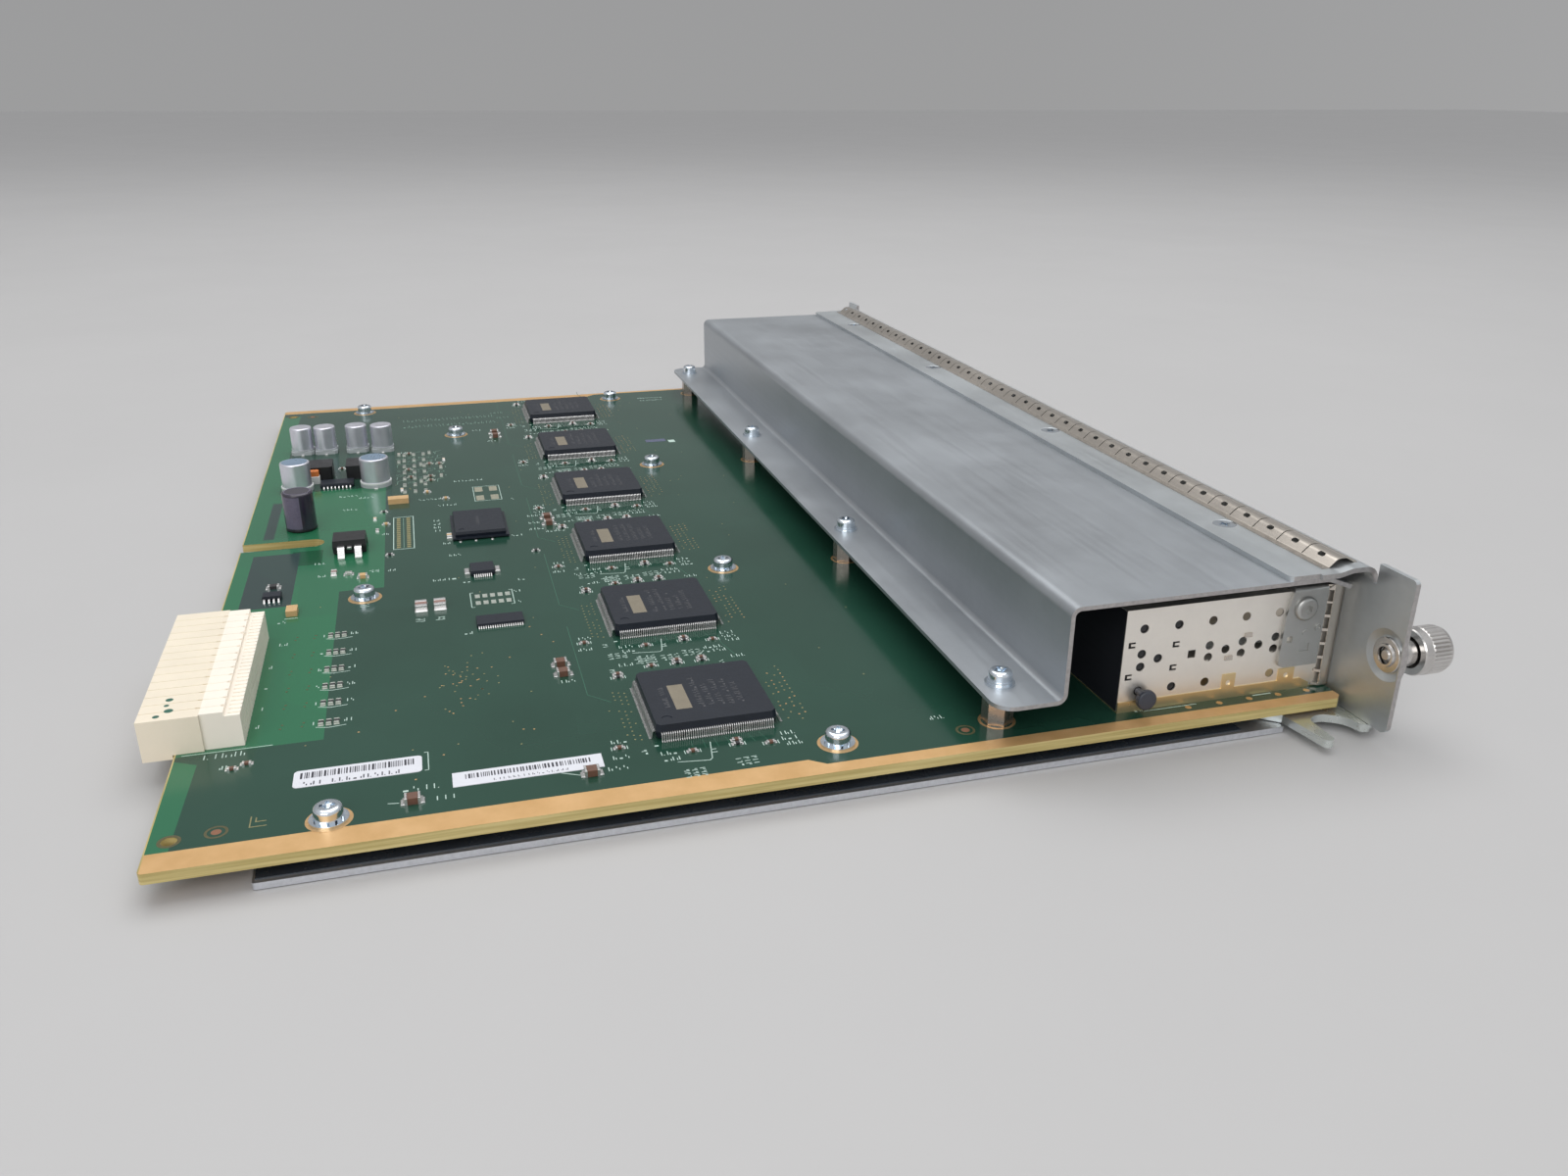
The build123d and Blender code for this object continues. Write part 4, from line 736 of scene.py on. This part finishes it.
# loose holes in the open middle of the board
for k in range(46):
    dot(rng.gauss(66.0, 7.0), rng.gauss(-62.0, 3.8), 0.24, 0 if rng.random() < 0.6 else 1)
for x, y in ((94.0, -80.5), (88.0, -83.0), (82.7, -85.5), (76.1, -73.8), (37.0, -73.7), (36.4, -76.0), (49.0, -58.8), (60.0, -66.0),
             (30.0, -56.0), (45.6, -38.0), (54.0, -46.0), (21.0, -50.0)):
    dot(x, y, 0.26, 0)
for k in range(70):
    dot(rng.uniform(20, 340), rng.uniform(-168, -22), 0.22, 1)
for x, y, al in ((35.8, -12.6, "y"), (37.4, -15.4, "y")):
    smd(tiny, x, y, 1.9, 1.05, 0.6, al, 0, 1, 0.28)
# parts by the power transistor
smd(tiny, 148.4, -28.6, 3.0, 1.6, 0.9, "x", 4, 1, 0.3)
smd(tiny, 146.6, -32.8, 2.0, 1.8, 0.8, "y", 5, 1, 0.3)
smd(tiny, 143.0, -36.9, 2.6, 2.0, 1.2, "y", 3, 1, 0.2)
smd(tiny, 141.2, -12.45, 3.2, 2.0, 1.0, "y", 2, 1, 0.2)
smd(tiny, 172.4, -62.7, 2.6, 1.6, 0.9, "x", 3, 1, 0.25)
block(146.6, 149.4, -39.2, -42.0, 1.6)
block(119.6, 121.4, -37.2, -39.6, 1.2)
for gx, gy, al in ((184.0, -40.5, "x"), (190.0, -43.2, "y"), (196.0, -39.6, "x"), (203.0, -42.4, "y"), (160.2, -44.4, "y"),
                   (226.8, -48.4, "x"), (222.0, -57.0, "y"), (213.0, -63.0, "y"), (262.0, -64.0, "x"),
                   (310.0, -30.0, "x"), (259.6, -27.0, "y"), (152.0, -88.0, "y")):
    smd(tiny, gx, gy, 1.9, 1.05, 0.65, al, rng.choice((0, 2, 3)), 1, 0.28)
# dense field of small parts and marks behind the large cans
for a in range(8):
    for b in range(5):
        x = 236.0 + a * 5.4 + rng.uniform(-0.7, 0.7)
        y = -47.6 - b * 3.7 + rng.uniform(-0.6, 0.6)
        k = rng.random()
        if k < 0.38:
            block(x - 1.6, x + 1.2, y + 0.6, y - 1.4, 1.5, 1)
        elif k < 0.75:
            smd(tiny, x, y, 2.0, 1.1, 0.65, rng.choice("xy"), rng.choice((0, 2, 4)), 5, 0.3)
            silk.box(x - 0.2, x + 1.6, y - 1.75, y - 1.55, SZ0, SZ1, 1)
        else:
            silk.line([(x - 2.0, y + 1.2), (x + 1.5, y + 1.0), (x + 2.4, y - 1.0)], 0.22, SZ0, SZ1, 1)
tiny.done(slot="ceramic_brown")

# marks by the small resistors in front of the connector
for cx in (101.9, 91.1, 80.9, 71.3, 62.2, 52.1):
    word(cx + 0.4, -27.6, 1, 1.5, 0.9)
    word(cx + 0.6, -34.7, 2, 1.5, 0.8, 0.35)
    silk.line([(cx - 1.6, -28.6), (cx - 2.4, -31.4), (cx - 1.9, -35.2)], 0.2, SZ0, SZ1)
    for yy in (-21.0, -25.6):
        dot(cx - 0.4, yy, 0.3, 2)
        dot(cx + 1.4, yy - 0.3, 0.3, 2)
for k, (gx, gy) in enumerate(((114.6, -15.6), (99.5, -17.2), (86.0, -15.8), (74.4, -15.8), (63.1, -15.8), (54.2, -15.6))):
    word(gx, gy, 2 if k < 2 else 1, 1.6, 0.9, 0.35, "y")
word(42.6, -6.2, 5, 2.0, 1.35, 0.5)
silk.line([(44.6, -1.5), (44.6, -20.0)], 0.22, SZ0, SZ1)
word(135.0, -56.6, 4, 1.5)
word(135.6, -62.0, 1, 2.6, 1.6)
word(131.6, -65.0, 2, 1.6, 0.9)
word(94.2, -63.6, 2, 1.7, 0.9)
word(129.4, -80.6, 2, 1.5, 0.8)
for yy in (-52.4, -57.6):
    block(105.2, 108.2, yy + 0.5, yy - 1.6, 1.25)
word(120.6, -78.6, 2, 1.5, 0.8)
word(112.6, -79.2, 1, 1.5, 0.8)
word(17.4, -47.4, 4, 1.9, 1.5, 0.55)
word(12.3, -53.6, 3, 1.6, 1.15, 0.5)
word(14.2, -89.4, 3, 1.6, 1.15, 0.5)
silk.line([(12.4, -46.6), (12.8, -44.4)], 0.2, SZ0, SZ1)
silk.line([(13.4, -83.4), (15.4, -79.6)], 0.2, SZ0, SZ1)
word(58.6, -84.4, 3, 1.5, 1.0, 0.45)
word(37.0, -10.0, 2, 1.5, 0.8)
word(10.6, -137.8, 3, 1.3, 0.8, 0.35)
silk.line([(32.2, -51.9), (32.2, -52.7), (24.4, -52.7), (24.4, -51.9)], 0.2, SZ0, SZ1)
for gx, gy, n in ((158.0, -22.4, 3), (147.2, -24.2, 2), (147.0, -44.0, 2), (155.0, -62.0, 3), (189.5, -58.0, 2), (166.4, -60.6, 2),
                  (186.0, -58.2, 2), (182.6, -58.2, 2), (179.2, -58.2, 2), (180.4, -42.0, 2), (168.3, -82.0, 3),
                  (232.6, -66.6, 8), (213.6, -54.0, 6), (205.6, -60.2, 5), (172.8, -88.0, 4), (186.4, -88.6, 4), (179.0, -88.4, 3),
                  (169.4, -93.0, 5), (285.0, -82.0, 3), (303.0, -77.0, 3), (206.6, -85.0, 1), (128.8, -97.0, 2),
                  (341.0, -152.9, 9), (336.6, -153.6, 8), (7.6, -211.4, 3), (11.0, -208.0, 2), (17.0, -164.0, 3),
                  (244.6, -39.0, 4), (259.6, -33.4, 3), (221.4, -34.0, 4), (224.4, -27.4, 5), (209.0, -29.0, 4),
                  (300.0, -38.0, 3), (276.0, -48.0, 3), (261.0, -18.0, 3)):
    word(gx, gy, n, 1.6, 0.9, 0.42)
# two long faint rows far from the camera
for gx in (326.0, 316.0):
    word(gx, -49.5, 24, 3.4, 1.05, 0.55, "y", 1)
for gx, gy in ((322.0, -88.0), (331.0, -86.0), (306.0, -92.0), (312.0, -98.0)):
    word(gx, gy, 4, 2.2, 1.0, 0.5, "y", 1)
# empty footprint beside the ball-grid body
frame_line(164.6, 196.4, -51.9, -45.4, 0.26)
for k in range(15):
    for yy in (-47.1, -50.2):
        pads.slab(166.5 + 2.0 * k, yy, 1.5, 1.2, SZ0, 0.018, 1)
silk.line([(166.0, -48.65), (195.0, -48.65)], 0.2, SZ0, SZ1, 1)
# pad array with a bracket at each end
for k in range(5):
    for r in range(2):
        pads.slab(114.3 + 5.0 * r, -68.3 - 2.1 * k, 2.6, 1.35, SZ0, 0.03, 3)
for yy, sgn in ((-66.4, -1), (-78.1, 1)):
    silk.line([(111.4, yy + sgn * 0.9), (111.4, yy), (122.2, yy), (122.2, yy + sgn * 0.9)], 0.22, SZ0, SZ1)
# pale empty footprints
for gx in (210.5, 220.5):
    for gy in (-74.6, -79.6):
        pads.slab(gx, gy, 5.4, 2.7, SZ0, 0.02, 4)
frame_line(207.0, 224.0, -81.9, -72.6, 0.2)
# small tinted patch near the far screw
pads.slab(268.0, -147.6, 3.6, 8.0, SZ0, 0.05, 5)
silk.slab(265.6, -153.8, 3.4, 2.6, SZ0, 0.06, 0)
# line along the cage foot
silk.box(116.65, 116.95, -20.6, -17.2, SZ0, SZ1)
silk.box(6.5, 6.9, -248.0, -243.0, SZ0, SZ1)
silk.box(6.5, 6.75, -227.5, -213.5, SZ0, SZ1)
silk.done(slot="paper")

for x, y in ((10.0, -33.3), (126.7, -37.8), (298.2, -70.2), (345.6, -33.5),
             (11.8, -140.0), (122.1, -140.6), (235.0, -140.0), (343.8, -140.9)):
    pads.ring(x, y, 3.0, 4.6, -0.01, 0.03, 40, 0)
for x, y in ((11.9, -178.5), (120.0, -178.5), (231.6, -178.5), (344.7, -178.5)):
    pads.ring(x, y, 3.7, 4.35, -0.01, 0.03, 40, 0)
for x, y in ((10.1, -4.1), (345.5, -4.1)):
    pads.ring(x, y, 1.5, 2.2, -0.01, 0.02, 28, 2)
for x, y, r in ((11.2, -12.4, 1.0), (9.6, -169.7, 1.0), (344.0, -12.0, 1.0)):
    pads.lathe(x, y, [(0, -0.01), (r, -0.01), (r, 0.03), (0, 0.03)], 20, 6, False)
    pads.ring(x, y, 1.7, 2.25, -0.01, 0.015, 28, 2)
for y in (-224.7, -233.1, -241.3, -249.3, -257.3):
    dot(5.6, y, 0.8, 0)
    dot(350.0, y, 0.8, 0)
for px, py, ax, ay in ((11.1, -18.3, 15.2, -21.6), (12.9, -19.3, 14.6, -21.4)):
    pads.box(px, px + 0.25, ay, py - 0.25, SZ0, 0.02, 1)
    pads.box(px, ax, py - 0.25, py, SZ0, 0.02, 1)
pads.done(slot="nickel_sheet")

# ---------------------------------------------------------------- label bars
bars = Piece("label_bars", ["bar"])
y = -26.7
while y > -49.6:
    w = rng.choice((0.16, 0.16, 0.3, 0.46))
    bars.slab(28.7, y - w / 2, 2.5, w, 0.115, 0.135)
    y -= w + rng.choice((0.18, 0.26, 0.4))
y = -28.0
while y > -47.6:
    if abs(y + 32.6) > 0.9:
        bars.glyph(25.3, y + 0.5, "y", 0.95, 1.5, 0.115, 0.135, 0, 0.26)
    y -= 1.42
y = -60.0
while y > -86.0:
    w = rng.choice((0.18, 0.18, 0.3, 0.42))
    bars.slab(19.2, y - w / 2, 1.9, w, 0.115, 0.135)
    y -= w + rng.choice((0.2, 0.3, 0.44))
y = -66.0
while y > -82.0:
    bars.glyph(16.6, y + 0.3, "y", 0.6, 0.8, 0.115, 0.135, 0, 0.16)
    y -= 1.0
bars.done(slot="chip_black")

# ------------------------------------- bent tabs in the outer cage side cut-outs
tabs = Piece("cage_side_tabs", ["cage", "finger"])
for xa, xb, out in ((7.630, 7.900, -1), (347.700, 347.970, 1)):
    for y, z in ((-208.9, 17.0), (-220.5, 15.9), (-220.45, 10.0), (-208.9, 8.9)):
        tabs.box(xa, xb, y - 0.95, y + 0.25, z - 0.30, z + 0.30, 0)
    face = 7.600 if out < 0 else 348.000
    for y, z in ((-239.7, 16.0), (-235.1, 10.65)):
        a, b = sorted((face - 0.02 * out, face + 0.38 * out))
        tabs.box(a, b, y - 1.0, y + 1.0, z - 0.55, z + 0.55, 1)
tabs.done(slot="nickel_sheet")

# ----------------------------------------------- backplane connector details
det = Piece("connector_details", ["green_ink", "tin"])
for x, yv, r in ((49.9, 0.4, 0.95), (52.6, 1.2, 0.55), (55.4, 1.0, 0.8), (47.6, 2.6, 0.7)):
    det.lathe(x, yv, [(0, 8.64), (r, 8.64), (r, 8.665), (0, 8.665)], 20, 0, False)
for c in range(30):
    for r in range(4):
        det.box(46.45 + 2.0 * c, 46.75 + 2.0 * c, -13.6 + 2.2 * r, -13.3 + 2.2 * r, -3.3, -2.3, 1)
det.done(slot="cream_plastic")

# --------------------------------------------------------- capacitor details
cd = Piece("capacitor_details", ["canblue", "base", "tin", "orange", "black", "mark", "sleeve_rim_and_painted_highlight", "white"])
for x, y in ((237.0, -12.9), (236.4, -39.6)):
    cd.ring(x, y, 0.0001, 4.4, 10.27, 10.33, 40, 0)
    cd.ring(x, y, 5.0, 5.42, 1.25, 1.75, 44, 7)
    for sgn in (-1, 1):
        cd.slab(x + sgn * 5.6, y, 1.6, 1.2, 0.01, 0.35, 2, bev=0.08)
for x, y in ((286.4, -11.8), (285.6, -20.5), (285.0, -32.2), (283.0, -41.6)):
    cd.ring(x, y, 4.0, 4.25, 1.3, 1.9, 36, 1)
    for sgn in (-1, 1):
        cd.slab(x + sgn * 4.5, y, 1.4, 1.0, 0.01, 0.35, 2, bev=0.08)
cd.slab(243.4, -18.4, 2.2, 3.2, 2.6, 4.9, 3, bev=0.3)
cd.slab(243.4, -18.4, 2.6, 3.6, 0.02, 2.8, 7, bev=0.2)
cd.lathe(193.0, -17.0, [(0, 0.05), (4.5, 0.05), (4.85, 0.4), (4.85, 0.9), (0, 0.9)], 32, 4)
cd.ring(193.0, -17.0, 3.8, 4.2, 12.75, 12.83, 40, 6)
# painted highlight: a lighter panel on the lit side of the sleeve
N = 7
v = []
for i in range(N + 1):
    a = math.radians(118 + 70.0 * i / N)
    for r, z in ((4.78, 1.3), (4.83, 1.3), (4.83, 11.9), (4.78, 11.9)):
        v.append((193.0 + r * math.cos(a), -17.0 + r * math.sin(a), z))
fcs = [(0, 1, 2, 3), tuple(4 * N + k for k in (3, 2, 1, 0))]
for i in range(N):
    for k in range(4):
        j = (k + 1) % 4
        fcs.append((4 * i + k, 4 * i + j, 4 * i + 4 + j, 4 * i + 4 + k))
cd.add(v, fcs, 6)
cd.done(slot="can_aluminium")

# ------------------------------------------------------------ thumbscrew springs
for side, x in (("left", -8.9), ("right", 364.5)):
    sp = Piece("spring_coil_" + side, ["spring"])
    sp.coil(x, 15.1, -265.36, -270.62, 2.25, 0.24, 4.5)
    ob = sp.done(replaces=("thumbscrew_springs",), slot="bright_zinc")
    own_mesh(ob)

# ------------------------------------------------------------- floor, lights
def area(name, loc, target, size, power, color=(1, 1, 1)):
    l = bpy.data.lights.new(name, "AREA")
    l.shape = "RECTANGLE"
    l.size, l.size_y = size
    l.energy = power
    l.color = color
    o = bpy.data.objects.new(name, l)
    o.location = loc
    o.rotation_euler = (Vector(target) - Vector(loc)).to_track_quat("-Z", "Y").to_euler()
    bpy.context.scene.collection.objects.link(o)
    return o


area("overhead", (0.25, -0.1, 1.5), (0.0, 0.0, 0.0), (1.8, 1.6), 12.0)
area("camera_side", (-1.3, 0.7, 0.9), (0.0, 0.0, 0.0), (1.2, 0.9), 8.5)
area("far_side", (0.9, -0.3, 1.7), (0.0, 0.0, 0.02), (1.2, 0.9), 3.0)

world = bpy.data.worlds.new("studio")
bpy.context.scene.world = world
world.use_nodes = True
wn = world.node_tree
wn.nodes.clear()
wo = wn.nodes.new("ShaderNodeOutputWorld")
bg = wn.nodes.new("ShaderNodeBackground")
tc = wn.nodes.new("ShaderNodeTexCoord")
sp = wn.nodes.new("ShaderNodeSeparateXYZ")
cr = wn.nodes.new("ShaderNodeValToRGB")
cr.color_ramp.elements[0].position = 0.0
cr.color_ramp.elements[0].color = (0.56, 0.56, 0.565, 1)
cr.color_ramp.elements[1].position = 1.0
cr.color_ramp.elements[1].color = (0.95, 0.96, 0.98, 1)
e = cr.color_ramp.elements.new(0.35)
e.color = (0.52, 0.525, 0.535, 1)
wn.links.new(tc.outputs["Generated"], sp.inputs[0])
wn.links.new(sp.outputs[2], cr.inputs[0])
wn.links.new(cr.outputs[0], bg.inputs[0])
# brighter towards the near side, dimmer beyond the far side
mr = wn.nodes.new("ShaderNodeMapRange")
mr.inputs["From Min"].default_value = -0.9
mr.inputs["From Max"].default_value = 0.9
mr.inputs["To Min"].default_value = 1.05
mr.inputs["To Max"].default_value = 0.60
wn.links.new(sp.outputs[0], mr.inputs["Value"])
wn.links.new(mr.outputs[0], bg.inputs[1])
wn.links.new(bg.outputs[0], wo.inputs[0])

me = bpy.data.meshes.new("floor")
s = 6.0
me.from_pydata([(-s, -s, 0), (s, -s, 0), (s, s, 0), (-s, s, 0)], [], [(0, 1, 2, 3)])
floor = bpy.data.objects.new("floor", me)
me.materials.append(MAT["floor"])
bpy.context.scene.collection.objects.link(floor)
floor.location = (0, 0, -0.0002)

# --------------------------------------------------------------------- camera
cam = bpy.data.cameras.new("camera")
cam.sensor_fit = "HORIZONTAL"
cam.sensor_width = 36.0
cam.lens = 1267.54 * 36.0 / 1600.0
cam.clip_start = 0.01
cam.clip_end = 50.0
camo = bpy.data.objects.new("camera", cam)
right = Vector((-0.279049, -0.960265, 0.004861))
upv = Vector((0.364988, -0.101379, 0.925476))
fwd = Vector((0.888209, -0.260027, -0.378774))
mw = Matrix.Identity(4)
for i in range(3):
    mw[i][0] = right[i]
    mw[i][1] = upv[i]
    mw[i][2] = -fwd[i]
loc = W(-216.884, -60.454, 136.010)
for i in range(3):
    mw[i][3] = loc[i]
camo.matrix_world = mw
bpy.context.scene.collection.objects.link(camo)
bpy.context.scene.camera = camo
bpy.context.scene.view_settings.view_transform = "Standard"
